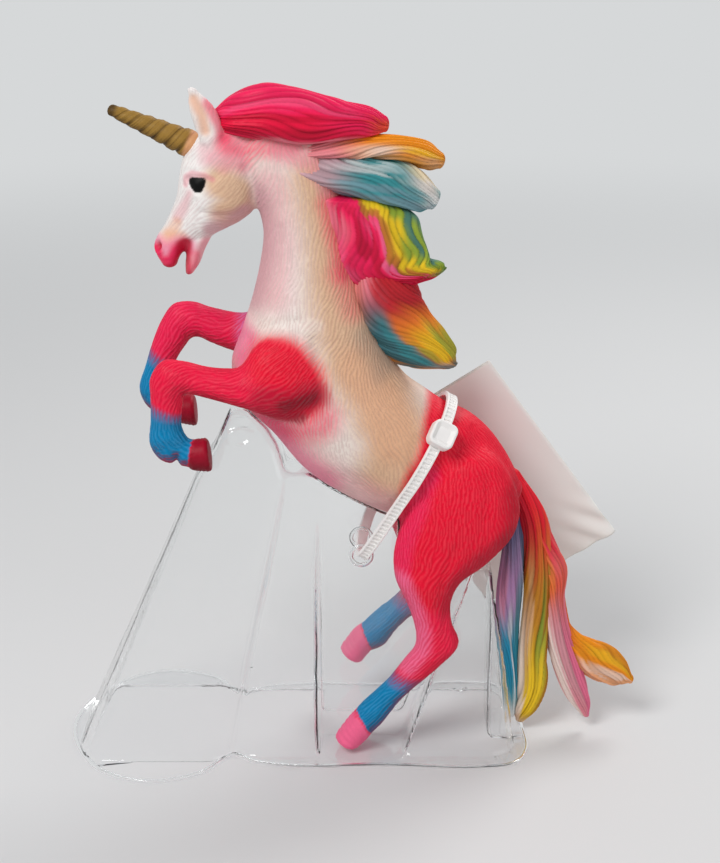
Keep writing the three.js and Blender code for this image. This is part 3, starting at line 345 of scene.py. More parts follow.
YELLOW_TAIL = stations(NECK, 1, [
    (35.6, 64.6, 29.6, 66, 0.3, 0),
    (42, 54.4, 35.4, 54, 0.62, -0.3),
    (43.8, 44, 36.8, 43, 0.66, -0.8),
    (43.8, 33.5, 37.2, 33.5, 0.62, -1.2),
    (43.4, 22, 36.6, 22, 0.58, -1.6),
    (43.9, 13, 36.4, 11.6, 0.5, -2),
    (41.8, 6, 36, 5.2, 0.36, -2),
    (39.2, 2.8, 36.8, 3, 0.18, -2),
])
TEAL_TAIL = stations(NECK, 1, [
    (36.6, 58.4, 33, 58, 0.3, -1),
    (37.4, 46, 32, 45.8, 0.5, -2.2),
    (37, 36.5, 31, 36, 0.52, -2.6),
    (36.6, 27, 31, 26.4, 0.48, -2.8),
    (36.8, 18, 33, 18, 0.38, -2.8),
    (37.2, 10, 34.6, 9, 0.28, -2.6),
    (36.6, 4.6, 35.2, 4.4, 0.14, -2.4),
])
CORAL_TAIL = stations(NECK, 1, [
    (37.4, 61.8, 33.8, 62, 0.25, -0.2),
    (44.6, 47.5, 40.4, 46, 0.48, -0.6),
    (47.3, 41, 42, 40, 0.54, -0.6),
    (47.1, 33.8, 42, 33, 0.56, -0.8),
    (48.9, 24.8, 42.8, 24, 0.55, -1.2),
    (52, 16, 45.4, 15, 0.48, -1.6),
    (54.4, 8.4, 48.6, 8, 0.34, -1.8),
    (54.2, 4, 51.8, 4.2, 0.16, -1.8),
])
ORANGE_TAIL = stations(NECK, 1, [
    (46.6, 36, 43.6, 34.6, 0.36, 0.4),
    (49.6, 25.4, 44.6, 23.4, 0.44, 0.6),
    (54, 22.7, 50, 15.6, 0.46, 0.4),
    (58.4, 21.2, 56, 11.7, 0.4, 0),
    (62, 17.8, 60.6, 11, 0.28, -0.4),
    (63.8, 13.8, 63, 11.6, 0.13, -0.6),
])


# Curves and lofts

SHORTEST = 1e-9
SHORTEST_RUN = 1e-6
SAME_KNOT = 1e-4
SAME_POINT = 1e-5
CAP_RINGS = 8
LEAST_RADIUS = 0.4


def unit(vectors):
    return vectors / np.maximum(np.linalg.norm(vectors, axis=-1, keepdims=True), SHORTEST)


def angles(count):
    """Even angles once round."""
    return np.linspace(0, TURN, count, endpoint=False)


def spline(points, places, closed=False):
    """A smooth curve through points, read at places that count the points from the first."""
    points = np.asarray(points, float)
    count = len(points)
    if closed:
        padded = np.vstack([points[-1], points, points[0], points[1]])
    else:
        padded = np.vstack([2 * points[0] - points[1], points, 2 * points[-1] - points[-2]])
    first = np.clip(np.floor(places).astype(int), 0, count - (1 if closed else 2))
    u = (places - first)[:, None]
    p0, p1, p2, p3 = (padded[first + k] for k in range(4))

    def knot(a, b, spare):
        gap = np.sqrt(np.linalg.norm(b - a, axis=1, keepdims=True))
        return np.where(gap < SAME_KNOT, spare, gap)

    d1 = knot(p1, p2, 1.0)
    d0 = knot(p0, p1, d1)
    d2 = knot(p2, p3, d1)
    m1 = d1 * ((p1 - p0) / d0 - (p2 - p0) / (d0 + d1) + (p2 - p1) / d1)
    m2 = d1 * ((p2 - p1) / d1 - (p3 - p1) / (d1 + d2) + (p3 - p2) / d2)
    return p1 + u * m1 + u**2 * (3 * (p2 - p1) - 2 * m1 - m2) + u**3 * (2 * (p1 - p2) + m1 + m2)


class Loft:
    """Rings of points through stations, rounded off at both ends by the cap lengths."""

    def __init__(self, table, rings, sides, caps, relief=None, cap_rings=CAP_RINGS):
        rows = np.array(table)
        last = len(rows) - 1
        places = np.linspace(0, last, rings)
        flat = np.zeros(len(rows))
        edge_a = spline(np.stack([rows[:, 0], flat, rows[:, 1]], 1), places)
        edge_b = spline(np.stack([rows[:, 2], flat, rows[:, 3]], 1), places)
        across = spline(np.stack([rows[:, 4], rows[:, 5], flat], 1), places)
        middle = (edge_a + edge_b) / 2
        middle[:, 1] = across[:, 1]
        half = (edge_a - edge_b) / 2
        width = across[:, :1]
        turn = np.linspace(0, 0.5 * np.pi, cap_rings + 1)[1:, None]

        def cap(end, inner, length):
            outward = unit(middle[end] - middle[inner])
            tip = middle[end] + outward * length * np.sin(turn)
            return tip, half[end] * np.cos(turn), width[end] * np.cos(turn)

        start = [part[::-1] for part in cap(0, 1, caps[0])]
        finish = cap(-1, -2, caps[1])
        middle, half, width = (np.vstack(parts) for parts in zip(start, (middle, half, width), finish))
        ends = np.zeros(cap_rings)
        self.place = np.concatenate([ends, places, ends + last])
        self.along = np.linspace(0, 1, len(self.place))
        self.angle = angles(sides)
        reach = np.ones((len(self.place), sides))
        if relief:
            radius = 0.5 * (np.linalg.norm(half, axis=1, keepdims=True) + width)
            reach = relief(self.along[:, None], self.angle[None, :], np.maximum(radius, LEAST_RADIUS))
        self.points = middle[:, None] + half[:, None] * (np.cos(self.angle) * reach)[..., None]
        self.points[..., 1] += width * np.sin(self.angle) * reach


def add_tube(bm, points, layers=()):
    """Adds a tube whose rings are the rows of points, with pairs of a vertex layer and its values."""
    rows, sides = points.shape[:2]
    verts = bmesh.ops.create_grid(bm, x_segments=sides, y_segments=rows - 1, size=1.0)["verts"]

    def wrapped(values):
        closed = np.concatenate([values, values[:, :1]], axis=1)
        return closed.reshape((rows * (sides + 1),) + values.shape[2:]).tolist()

    for vert, place in zip(verts, wrapped(points)):
        vert.co = place
    for layer, values in layers:
        for vert, value in zip(verts, wrapped(values)):
            vert[layer] = value
    bmesh.ops.remove_doubles(bm, verts=verts, dist=SAME_POINT)


# Fields on points

NOISE_SEED_STEP = 7919
NOISE_STEP = 73856093
NOISE_CELL_STEP = 19349663
NOISE_STIR = 1274126177
NOISE_SHIFT = 13
NOISE_MASK = 0x7FFFFFFF
NOISE_LEVELS = 0xFFFF


def fade(values, full, gone):
    """1 where values reach full, 0 where they reach gone, smooth between."""
    u = np.clip((values - gone) / (full - gone), 0, 1)
    return u * u * (3 - 2 * u)


def bell(values, half_width, centre=0.0):
    """1 where values are at the centre, falling off over the half-width to both sides."""
    return np.exp(-((values - centre) / half_width) ** 2)


def blend(colour, paint, share):
    """A colour with a share of paint over it."""
    return colour * (1 - share) + paint * share


def opaque(colour):
    """Rows of colour with a full alpha."""
    return np.concatenate([colour, np.ones(colour.shape[:-1] + (1,))], -1)


def one_side(points):
    """Points with those of one side mirrored onto the other."""
    return points * np.array([1, 0, 1]) + np.abs(points) * np.array([0, 1, 0])


def distance_to_path(flat, path):
    """Distance of side-view points from a line of points."""
    path = np.array(path, float)
    if len(path) == 1:
        return np.linalg.norm(flat - path[0], axis=1)
    nearest = np.full(len(flat), np.inf)
    for a, b in zip(path[:-1], path[1:]):
        run = b - a
        share = np.clip(((flat - a) @ run) / (run @ run), 0, 1)
        nearest = np.minimum(nearest, np.linalg.norm(flat - a - share[:, None] * run, axis=1))
    return nearest


def lattice_noise(points, seed):
    """Smooth value noise from -1 to 1 on rows of points."""
    cell = np.floor(points).astype(np.int64)
    u = points - cell
    u = u * u * (3 - 2 * u)
    total = np.zeros(len(points))
    for corner in np.ndindex(*(2,) * points.shape[1]):
        mixed = np.full(len(points), seed * NOISE_SEED_STEP, np.int64)
        weight = np.ones(len(points))
        for axis, step in enumerate(corner):
            mixed = (mixed * NOISE_STEP + (cell[:, axis] + step) * NOISE_CELL_STEP) & NOISE_MASK
            mixed = (mixed ^ (mixed >> NOISE_SHIFT)) * NOISE_STIR & NOISE_MASK
            weight *= u[:, axis] if step else 1 - u[:, axis]
        total += weight * ((mixed & NOISE_LEVELS) / (0.5 * NOISE_LEVELS) - 1)
    return total


class Surface:
    """A mesh's points as arrays, with its neighbours along edges and across quads."""

    least_share = 0.005
    stroke_focus = 10
    stroke_pulls = 3
    broad_pulls = 4
    stroke_contrast = 1.4
    stroke_seed = 11

    def __init__(self, mesh):
        self.mesh = mesh
        self.count = len(mesh.vertices)
        self.points = np.empty(self.count * 3, np.float32)
        mesh.vertices.foreach_get("co", self.points)
        self.points = self.points.reshape(-1, 3).astype(float)
        edges = np.empty(len(mesh.edges) * 2, np.int32)
        mesh.edges.foreach_get("vertices", edges)
        edges = edges.reshape(-1, 2)
        starts = np.empty(len(mesh.polygons), np.int32)
        sizes = np.empty(len(mesh.polygons), np.int32)
        corners = np.empty(len(mesh.loops), np.int32)
        mesh.polygons.foreach_get("loop_start", starts)
        mesh.polygons.foreach_get("loop_total", sizes)
        mesh.loops.foreach_get("vertex_index", corners)
        quads = starts[sizes == 4]
        diagonals = [np.stack([corners[quads + k], corners[quads + k + 2]], 1) for k in (0, 1)]
        pairs = np.vstack([edges] + diagonals)
        self.first_corner = corners[starts]
        self.here = np.concatenate([pairs[:, 0], pairs[:, 1]])
        self.there = np.concatenate([pairs[:, 1], pairs[:, 0]])
        plain = np.concatenate([edges[:, 0], edges[:, 1]])
        self.plain_here = plain
        self.plain_there = np.concatenate([edges[:, 1], edges[:, 0]])
        self.degree = np.bincount(plain, minlength=self.count)

    def mean_of_neighbours(self, values):
        if values.ndim == 2:
            return np.stack([self.mean_of_neighbours(column) for column in values.T], 1)
        return np.bincount(self.plain_here, values[self.plain_there], self.count) / self.degree

    def spread(self, values, times):
        """Values that have taken the mean of their neighbours, times over."""
        for _ in range(times):
            values = self.mean_of_neighbours(values)
        return values

    def smooth(self, times, share=0.5):
        """Draws points towards the mean of their neighbours, each by its own share."""
        share = np.broadcast_to(share, self.count)
        moved = np.flatnonzero(share > self.least_share)
        order = np.full(self.count, -1)
        order[moved] = np.arange(len(moved))
        used = order[self.plain_here] >= 0
        here = order[self.plain_here[used]]
        there = self.plain_there[used]
        pull = share[moved, None]
        degree = self.degree[moved, None]
        for _ in range(times):
            sums = np.stack([np.bincount(here, self.points[there, k], len(moved)) for k in range(3)], 1)
            self.points[moved] += pull * (sums / degree - self.points[moved])

    def normals(self):
        self.mesh.vertices.foreach_set("co", self.points.astype(np.float32).ravel())
        self.mesh.update()
        normals = np.empty(self.count * 3, np.float32)
        self.mesh.vertex_normals.foreach_get("vector", normals)
        return normals.reshape(-1, 3).astype(float)

    def strokes(self, direction, times):
        """A pattern of fine ridges, from -1 to 1, drawn out along the direction at each point."""
        run = unit(self.points[self.there] - self.points[self.here])
        weight = np.abs((run * direction[self.here]).sum(1)) ** self.stroke_focus
        total = np.bincount(self.here, weight, self.count) + SHORTEST_RUN
        values = np.random.default_rng(self.stroke_seed).standard_normal(self.count)
        for _ in range(times):
            for _ in range(self.stroke_pulls):
                drawn = np.bincount(self.here, weight * values[self.there], self.count) / total
                values = 0.5 * (values + drawn)
            broad = values
            for _ in range(self.broad_pulls):
                broad = 0.5 * (broad + self.mean_of_neighbours(broad))
            values = values - broad
            values = np.tanh(self.stroke_contrast * values / values.std())
        return values


# Materials: grains are the scale per metre, the strength and the height in metres

SPECULAR = 0.14
GRAIN_DETAIL = 4.0
PAINT_GRAIN = (2200, 0.12, 0.0002)
SHEET_GRAIN = (120, 0.15, 0.0004)
NYLON_GRAIN = (900, 0.1, 0.0002)
PAPER_GRAIN = (1500, 0.15, 0.0001)
FLOOR_GRAIN = (300, 0.05, 0.0005)
MOTTLE = {"To Min": 0.9, "To Max": 1.06}
SKIN_ROUGHNESS = 0.46
HAIR_ROUGHNESS = 0.42
HORN_ROUGHNESS = 0.5


def material_with(name, inputs):
    """A new material whose shader has the given inputs."""
    material = bpy.data.materials.new(name)
    material.use_nodes = True
    shader = material.node_tree.nodes["Principled BSDF"]
    for key, value in {"Specular IOR Level": SPECULAR, **inputs}.items():
        shader.inputs[key].default_value = value
    return material, material.node_tree, shader


def node(tree, kind, **settings):
    """A new node, with settings of its inputs or else of the node itself."""
    made = tree.nodes.new(kind)
    for key, value in settings.items():
        if key in made.inputs:
            made.inputs[key].default_value = value
        else:
            setattr(made, key, value)
    return made


def link(tree, *pairs):
    for source, target in pairs:
        tree.links.new(source, target)


def add_grain(tree, shader, grain):
    """A fine raised grain in object coordinates."""
    scale, strength, height = grain
    place = node(tree, "ShaderNodeTexCoord")
    noise = node(tree, "ShaderNodeTexNoise", Scale=scale, Detail=GRAIN_DETAIL)
    bump = node(tree, "ShaderNodeBump", Strength=strength, Distance=height)
    link(
        tree,
        (place.outputs["Object"], noise.inputs["Vector"]),
        (noise.outputs["Fac"], bump.inputs["Height"]),
        (bump.outputs["Normal"], shader.inputs["Normal"]),
    )
    return noise


def painted_material(name, roughness):
    """Airbrushed paint: the colour rides on the mesh, with a mottle and a grain over it."""
    material, tree, shader = material_with(name, {"Roughness": roughness})
    noise = add_grain(tree, shader, PAINT_GRAIN)
    paint = node(tree, "ShaderNodeAttribute", attribute_name="Paint")
    mottle = node(tree, "ShaderNodeMapRange", **MOTTLE)
    mix = node(tree, "ShaderNodeMix", data_type="RGBA", blend_type="MULTIPLY", Factor=1.0)
    link(
        tree,
        (noise.outputs["Fac"], mottle.inputs["Value"]),
        (paint.outputs["Color"], mix.inputs["A"]),
        (mottle.outputs["Result"], mix.inputs["B"]),
        (mix.outputs["Result"], shader.inputs["Base Color"]),
    )
    return material


def show_mix(tree, share, first, second, output="Material Output"):
    """Shows two shaders mixed by a share."""
    mix = node(tree, "ShaderNodeMixShader")
    link(
        tree,
        (share, mix.inputs["Fac"]),
        (first, mix.inputs[1]),
        (second, mix.inputs[2]),
        (mix.outputs["Shader"], tree.nodes[output].inputs["Surface"]),
    )


# Finished objects

def add_object(name, data):
    obj = bpy.data.objects.new(name, data)
    bpy.context.scene.collection.objects.link(obj)
    return obj


def mesh_object(name, bm):
    """A new object that takes over the bmesh."""
    mesh = bpy.data.meshes.new(name)
    bm.to_mesh(mesh)
    bm.free()
    return add_object(name, mesh)


def bmesh_of(mesh):
    bm = bmesh.new()
    bm.from_mesh(mesh)
    return bm


def open_edges(items):
    return [item for item in items if isinstance(item, bmesh.types.BMEdge) and item.is_boundary]


def shade_smooth(bm):
    for face in bm.faces:
        face.smooth = True


def place_object(bm, name, body, slot, material, nodes):
    """Turns a drawing-frame bmesh into a finished piece that rides its body."""
    bmesh.ops.transform(bm, matrix=DRAWING_TO_FRAME, verts=bm.verts)
    obj = mesh_object(name, bm)
    mesh = obj.data
    mesh.materials.append(material)
    facing = mesh.attributes.get("Facing")
    if facing:
        normals = np.empty(len(mesh.vertices) * 3, np.float32)
        facing.data.foreach_get("vector", normals)
        mesh.attributes.remove(facing)
        mesh.normals_split_custom_set_from_vertices(normals.reshape(-1, 3).tolist())
    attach(obj, body)
    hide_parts(*nodes)
    return obj


def fused_mesh(bm, grain):
    """One even skin over everything in the bmesh."""
    obj = mesh_object("draft", bm)
    draft = obj.data
    voxels = obj.modifiers.new("Voxels", "REMESH")
    voxels.mode = "VOXEL"
    voxels.voxel_size = grain
    graph = bpy.context.evaluated_depsgraph_get()
    mesh = bpy.data.meshes.new_from_object(obj.evaluated_get(graph))
    bpy.data.objects.remove(obj)
    bpy.data.meshes.remove(draft)
    return mesh


# Animal: body, head and legs share one skin, which is cut into the castings

CASTINGS = ["body", "head", "left_foreleg", "right_foreleg", "left_hind_leg", "right_hind_leg"]
LEGS = CASTINGS[2:]
ALL_LEGS = " ".join(LEGS)
FORELEGS = "left_foreleg right_foreleg"
HIND_LEGS = "left_hind_leg right_hind_leg"

# Lines in side view that both grooves and paint follow
JAW = [(-23.6, 134), (-22, 130), (-22.8, 126), (-26, 124), (-30, 123.8), (-33, 124.6)]
BROW = [(-36.3, 130), (-36, 131.6), (-34.6, 132.5), (-32, 132.4), (-30.4, 131.6)]
MANE_ROOT = [(-6.4, 126.4), (-4.6, 119), (-3, 111.6)]

# Casting, kind, stations, rings, sides, cap lengths
SKIN_LOFTS = [
    ("body", "trunk", BODY, 130, 96, (3, 4)),
    ("head", "skull", SKULL, 70, 64, (2.5, 0)),
    ("head", "upper_lip", UPPER_LIP, 30, 44, (0, 1.2)),
    ("head", "lower_lip", LOWER_LIP, 30, 40, (0, 0.9)),
    ("head", "ear", EAR_SHELL, 36, 32, (1, 1.3)),
    ("left_foreleg", "limb", LEFT_FORELEG, 130, 44, (2, 0)),
    ("left_foreleg", "hoof", LEFT_FOREHOOF, 24, 44, (0, 0.3)),
    ("right_foreleg", "limb", RIGHT_FORELEG, 130, 44, (2, 0)),
    ("right_foreleg", "hoof", RIGHT_FOREHOOF, 24, 44, (0, 0.3)),
    ("left_hind_leg", "limb", LEFT_HIND_LEG, 130, 56, (2, 0)),
    ("left_hind_leg", "hoof", LEFT_HIND_HOOF, 24, 44, (0, 0.1)),
    ("right_hind_leg", "limb", RIGHT_HIND_LEG, 130, 56, (2, 0)),
    ("right_hind_leg", "hoof", RIGHT_HIND_HOOF, 24, 44, (0, 0.3)),
]

# Way the hair lies in side view: place x, z, then run x, z
HAIR_RUNS = [
    (-34, 136, -0.5, -1),
    (-26, 129, -0.8, -0.6),
    (-29, 122, -1, 0.1),
    (-39, 122, -0.6, -0.8),
    (-41, 115, -0.3, -1),
    (-32, 146, 0.2, 1),
    (-14, 132, 0.25, -1),
    (-12, 115, 0, -1),
    (-12, 104, -0.15, -1),
    (-23, 96, -0.2, -1),
    (-13, 95, -0.5, -1),
    (-17, 87, -1, -0.15),
    (-30, 88, -1, 0.05),
    (-34, 97, -1, 0.1),
    (-42, 92, -0.6, -1),
    (-42, 81, 0, -1),
    (-47, 86, -0.3, -1),
    (-40, 73, 1, -0.2),
    (-10, 79, 0.3, -1),
    (2, 76, 0.35, -1),
    (-2, 64, 1, -0.6),
    (11, 70, 0.3, -1),
    (24, 75, 0.35, -1),
    (22, 58, 0.1, -1),
    (18, 46, -0.25, -1),
    (15, 37, 0.05, -1),
    (18, 28, -0.4, -1),
    (11, 20, -0.8, -0.7),
    (3, 11, -0.75, -0.7),
    (-3, 5, -0.6, -0.8),
]

# Moulded grooves in side view, or swellings where the depth is negative: depth, half-width, castings, line
CREASES = [
    (0.35, 1.0, "body", [(-23.5, 97.1), (-20.8, 100.1), (-16.9, 101.9), (-12.6, 102.2)]),
    (0.5, 1.3, "body left_foreleg", [(-9.5, 98), (-8, 92), (-8.2, 85), (-11, 81.5)]),
    (0.4, 1.3, "body", [(-17, 121), (-17.6, 112), (-18.6, 104)]),
    (0.35, 1.4, "body " + HIND_LEGS, [(12.5, 76), (11, 70), (13, 63)]),
    (0.3, 1.3, "body " + HIND_LEGS, [(25, 76), (28, 68), (27.5, 59)]),
    (0.4, 1.1, HIND_LEGS, [(21, 52), (18.4, 45), (17.2, 38)]),
    (0.3, 0.8, HIND_LEGS, [(19.2, 39), (18.8, 33)]),
    (0.3, 0.8, FORELEGS, [(-36, 91.5), (-30, 89), (-24, 88)]),
    (1.1, 0.7, "left_foreleg", [(-39.4, 73), (-39.9, 70)]),
    (-0.3, 1.3, "left_foreleg", [(-42.2, 73.4)]),
    (-0.3, 0.9, "left_foreleg", [(-38, 72.6)]),
    (1.1, 0.7, "right_foreleg", [(-44.2, 76.6), (-44.8, 74)]),
    (-0.3, 1.3, "right_foreleg", [(-46.8, 78.4)]),
    (-0.7, 2.2, "body", [(-10, 137), (-8, 131)]),
    (0.3, 0.7, "head", JAW),
    (0.3, 0.6, "head", [(-34.4, 127), (-36, 124.6), (-38, 121.6)]),
    (0.25, 0.5, "head", BROW),
    (-0.8, 2.4, "head", [(-36.4, 138.4)]),
    (-0.3, 0.8, "head", [(-36, 133.4), (-33.6, 133.6), (-31, 132.8)]),
]

# Airbrush passes in side view: paint, strength, full and vanishing distance from the line, castings, line.
# Some passes are painted shade or painted highlight, as noted at their rows.
SPRAYS = [
    # Painted highlight: white down the front of the neck
    ("white", 0.3, 1.5, 6, "body", [(-15.7, 119), (-14.7, 108.6), (-14.3, 101.5)]),
    ("tan", 0.9, 3, 11, "body", [(-7, 131), (-5, 122), (-4, 112), (-3, 102), (-1, 94), (4, 86), (8, 77),
                                 (7, 69)]),
    ("peach", 0.35, 2, 8, "body", [(0, 92), (5, 84), (8, 76)]),
    ("blush", 0.4, 1, 7, "body", [(-19, 130), (-17.5, 118), (-18.5, 108)]),
    # Painted shade: mauve along the front edge of the neck
    ("mauve", 0.75, 1, 6, "body", [(-22, 127), (-20.6, 120), (-21.8, 112), (-23.2, 106)]),
    ("pink", 0.25, 1.5, 5, "body", [(-24.6, 99)]),
    ("blush", 0.7, 1.5, 5.5, "body", [(-26, 91), (-24, 84), (-18, 77)]),
    ("blush", 0.42, 2, 8, "body", [(-14, 74), (-9, 68), (-3, 63.5), (4, 60)]),
    ("hot_pink", 0.55, 0.4, 4.2, "body", MANE_ROOT),
    ("hot_pink", 0.35, 0.4, 5, "body", [(-3.8, 111.6), (-1, 104)]),
    ("crimson", 0.2, 0.3, 2, "body", MANE_ROOT),
    ("hot_pink", 0.6, 0.8, 4, "body head", [(-27, 139), (-20.5, 138.6), (-14, 138.4)]),
    ("blush", 0.6, 1, 4, "body", [(-16, 137), (-9, 135.5), (-6, 130)]),
    ("deep_teal", 0.22, 0.5, 5, "body", [(1.5, 98), (5, 91.6)]),
    ("pink", 0.6, 1, 6.5, "body", [(-20, 78), (-14, 70.5), (-8, 65)]),
    ("hot_pink", 0.6, 1.5, 7.5, "body left_foreleg", [(-20, 81), (-14, 79.6), (-8.8, 81.2)]),
    ("hot_pink", 0.5, 1.5, 7, "body right_foreleg", [(-20, 86), (-14, 84), (-9, 85.5)]),
    ("pink", 0.75, 1.2, 5, "body", [(-25, 97), (-23.4, 91)]),
    # Painted highlight: cream along the top of the shoulder
    ("cream", 0.35, 0.6, 2.4, "body", [(-20.8, 100.4), (-14.3, 101.6), (-8.8, 101.3)]),
    ("red", 1, 2.6, 7.4, "body left_foreleg", [(-18.5, 93.5), (-15.5, 93.5), (-12.4, 90), (-12.6, 86.5)]),
    ("red", 1, 2.6, 7.4, "body right_foreleg", [(-17.5, 98), (-14, 98), (-12, 95), (-12.4, 92)]),
    # Painted shade: crimson at the far foreleg's elbow
    ("crimson", 0.85, 1.4, 5, "body right_foreleg", [(-20, 92), (-14, 91.6), (-9.5, 92)]),
    ("red", 1, 12.2, 15.4, "body " + HIND_LEGS, [(28.6, 82), (26.4, 72), (22.8, 62), (20, 50)]),
    # Painted shade: crimson and maroon at the near foreleg's elbow and under it
    ("crimson", 0.85, 1.4, 5, "body left_foreleg", [(-20, 86), (-14, 85.8), (-9.5, 86.6)]),
    ("maroon", 0.7, 0.3, 2.6, "body left_foreleg", [(-16, 85), (-10, 86.4)]),
    ("maroon", 0.5, 0.3, 2.2, "body left_foreleg", [(-20, 82.3), (-13, 81.8)]),
    ("hot_pink", 0.6, 9, 12, "right_foreleg", [(-24, 98), (-38, 97), (-44, 90)]),
    ("lilac", 0.5, 0.6, 4, "right_foreleg", [(-25, 98), (-25.4, 90)]),
    # Painted highlight: hot pink along the thigh's front edge
    ("hot_pink", 0.8, 0.8, 3.6, "body " + HIND_LEGS, [(15, 68), (12, 60), (9.3, 51), (8.6, 45)]),
    ("pink", 0.7, 1, 4.2, HIND_LEGS, [(9, 43), (11.6, 37), (13, 31), (13, 27), (10.4, 23)]),
    # Painted shade: crimson on the thigh's lower rear
    ("crimson", 0.7, 1, 4.5, HIND_LEGS, [(33, 53), (27, 48.5), (22, 44), (19.5, 38)]),
    # Painted shade: maroon in the fold where the tail meets the rump
    ("maroon", 0.35, 0.3, 4.5, "body " + HIND_LEGS, [(34, 63), (34, 57.6), (32.5, 53)]),
    ("tan", 0.9, 1.6, 5.8, "head", [(-28.6, 131), (-25.4, 129), (-25, 126), (-27.4, 124.6)]),
    # Painted shade: mauve along the jaw's groove and under the jaw
    ("mauve", 0.4, 0.3, 2, "head", JAW[:-1]),
    ("mauve", 0.7, 0.8, 3, "head", [(-31, 120.6), (-27.5, 121.2), (-24, 124)]),
    ("hot_pink", 0.5, 0.4, 3.8, "head body", [(-28.4, 138.4), (-26.4, 136.6), (-24.4, 135)]),
    ("blush", 0.4, 0.4, 2.6, "head", [(-32, 137.4), (-31.8, 135.6)]),
    ("blush", 0.5, 0.6, 2.6, "head", [(-30, 136), (-28, 134.4)]),
    ("blush", 0.55, 0.1, 0.9, "head", BROW),
    ("blush", 0.4, 0.1, 1.6, "head", [(-35.4, 128.4), (-36.6, 126), (-38.2, 123)]),
    ("peach", 0.5, 0.3, 1.8, "head", [(-38.4, 121.8), (-40, 119.8)]),
    ("peach", 0.6, 0.6, 2.6, "head", [(-40.6, 118.6), (-37.6, 119)]),
    ("pink", 0.75, 1.2, 3.6, "head", [(-43, 116.6), (-40.6, 115.6), (-37, 117)]),
    ("hot_pink", 0.95, 0.9, 2.6, "head", [(-43.2, 115.4), (-42.6, 113.2), (-39.6, 113.6), (-38.4, 115.8)]),
    ("crimson", 0.8, 0.2, 1.5, "head", [(-42.4, 112), (-39.4, 112.4), (-38.3, 115), (-37.9, 117.4)]),
    ("crimson", 0.9, 0.8, 2, "head", [(-37.3, 111), (-37.2, 114.6), (-36.8, 117.6)]),
    ("blush", 0.75, 0.6, 2.2, "head", [(-34.4, 112.4), (-33.4, 115), (-32.4, 117.4)]),
    ("hot_pink", 0.5, 0.3, 1.6, "head", [(-35.6, 111.4), (-35, 115)]),
    ("peach", 0.55, 1, 3, "head", [(-36.8, 138.6)]),
    ("peach", 0.5, 0.5, 1.9, "head", [(-33.6, 147.6), (-32.2, 144.6), (-31.8, 141.6)]),
    ("hot_pink", 0.7, 0.5, 2.4, "head", [(-27.8, 140.4), (-28.6, 143), (-29.2, 144), (-30.6, 147)]),
]

# First and last blue stations of each leg, in the order of the legs
BLUE_RUNS = [(8.5, 14), (7.5, 14), (9.75, 12.7), (9.6, 12.8)]
BLUE_FADES = (0.45, 0.15)
BLUE_EDGE = 0.55
# Darker blue on the legs' undersides, by how far the surface looks up, is painted shade
BLUE_UNDERSIDE_SHADE = 0.75
BLUE_UNDERSIDE_SHADE_FADE = (-0.7, 0.25)

# Paint of the hooves, and painted shade on what looks down, by how far the surface looks up
HIND_HOOF_PINK = 0.85
FOREHOOF_CRIMSON = 0.95
FOREHOOF_MAROON_AND_SHADE = (0.5, 0.4)
FOREHOOF_SHADE_FADE = (-0.8, 0.7)
UNDER_LEG_PAINTED_SHADE = 0.8
UNDER_LEG_SHADE_FADE = (-0.9, -0.1)
EAR_PEACH = 0.4
NOSTRIL_CRIMSON = 0.9
NOSTRIL_SPREAD = 1.3

# Skin: how often values spread to their neighbours, and how the joins are smoothed
SKIN_SMOOTHING = 5
MOULD_SMOOTHING = 2
SHARE_SPREAD = 6
CUT_SPREAD = 24
JOIN_SPREAD = 36
JOIN_FADE = (0.7, 0.99)
JOIN_SMOOTHING = 110
JOIN_PULL = 0.6
BARE_SPREAD = 2

# Far ear, which is laid back: the height where it starts, and its lean over one rise
FAR_EAR_ROOT = 138
FAR_EAR_RISE = 10
FAR_EAR_BACK = 6.5
FAR_EAR_DOWN = 4.5

# Moulded face; a form is its height, its half-width and its distance from the middle
SIDE_FADE = (0.5, 0.15)
CHEEK_PLACE = np.array([-27.5, 128.6])
CHEEK_FADE = (2.5, 5.2)
CHEEK_RISE = 0.45
EYE = np.array([-33.7, 5.2, 130.3])
EYE_RUN = np.array([0.998, 0.06])
EYE_RISE = np.array([-0.06, 0.998])
EYE_HALF = (2.5, 1.7)
EYE_POWER = 3.0
EYE_NARROWING = (0.7, 0.3)
EYE_REACH = 2.6
EYE_EDGE = (0.9, 1.02)
EYE_BULGE = 0.35
EYE_RIM = (0.3, 0.12, 1.0)
LID = (0.3, 0.2, 1.3)
LID_FOLD = (0.25, 0.3, 1.8)
LID_SHARES = (0.55, 0.45)
NO_EYE = 9.0
NOSTRIL = np.array([-42.6, 2.6, 116.9])
NOSTRIL_DEPTH = 1.1
NOSTRIL_HALF_WIDTH = 0.85
NOSTRIL_RIM = (0.35, 0.4, 1.5)
EAR_HOLLOW = [(-34, 147.8), (-32.2, 144.6), (-31.6, 141.4)]
EAR_HOLLOW_DEPTH = 0.75
EAR_HOLLOW_HALF_WIDTH = 1.2
EAR_OUTSIDE = 0.1

# Moulded hair and the growth rings of the hooves
HAIR_REACH = 1.5
HAIR_SWAY = 0.4
HAIR_SWAY_SIZE = 3.5
HAIR_SWAY_SEED = 9
HAIR_STROKES = 6
HEAD_HAIR = 0.45
BARE_ROUND_EYE = (1.4, 2.2)
GROWTH_DEPTH = 0.07
GROWTH_PITCH = 0.22

# Paint: how the hair breaks an edge, how the passes wander, the painted shade in the grooves between the
# hairs, and the painted highlight on their ridges
LEG_RED, LEG_PINK = 0.65, 0.35
BROKEN_EDGE = 0.18
HEAD_EDGE = 0.12
WANDER = 0.4
WANDER_SIZE = 4
WANDER_SEED = 5
HAIR_GROOVE_PAINTED_SHADE = np.array([0.15, 0.23, 0.22])
HEAD_PAINTED_SHADE_CUT = 0.2
RIDGE_PAINTED_HIGHLIGHT = 0.03

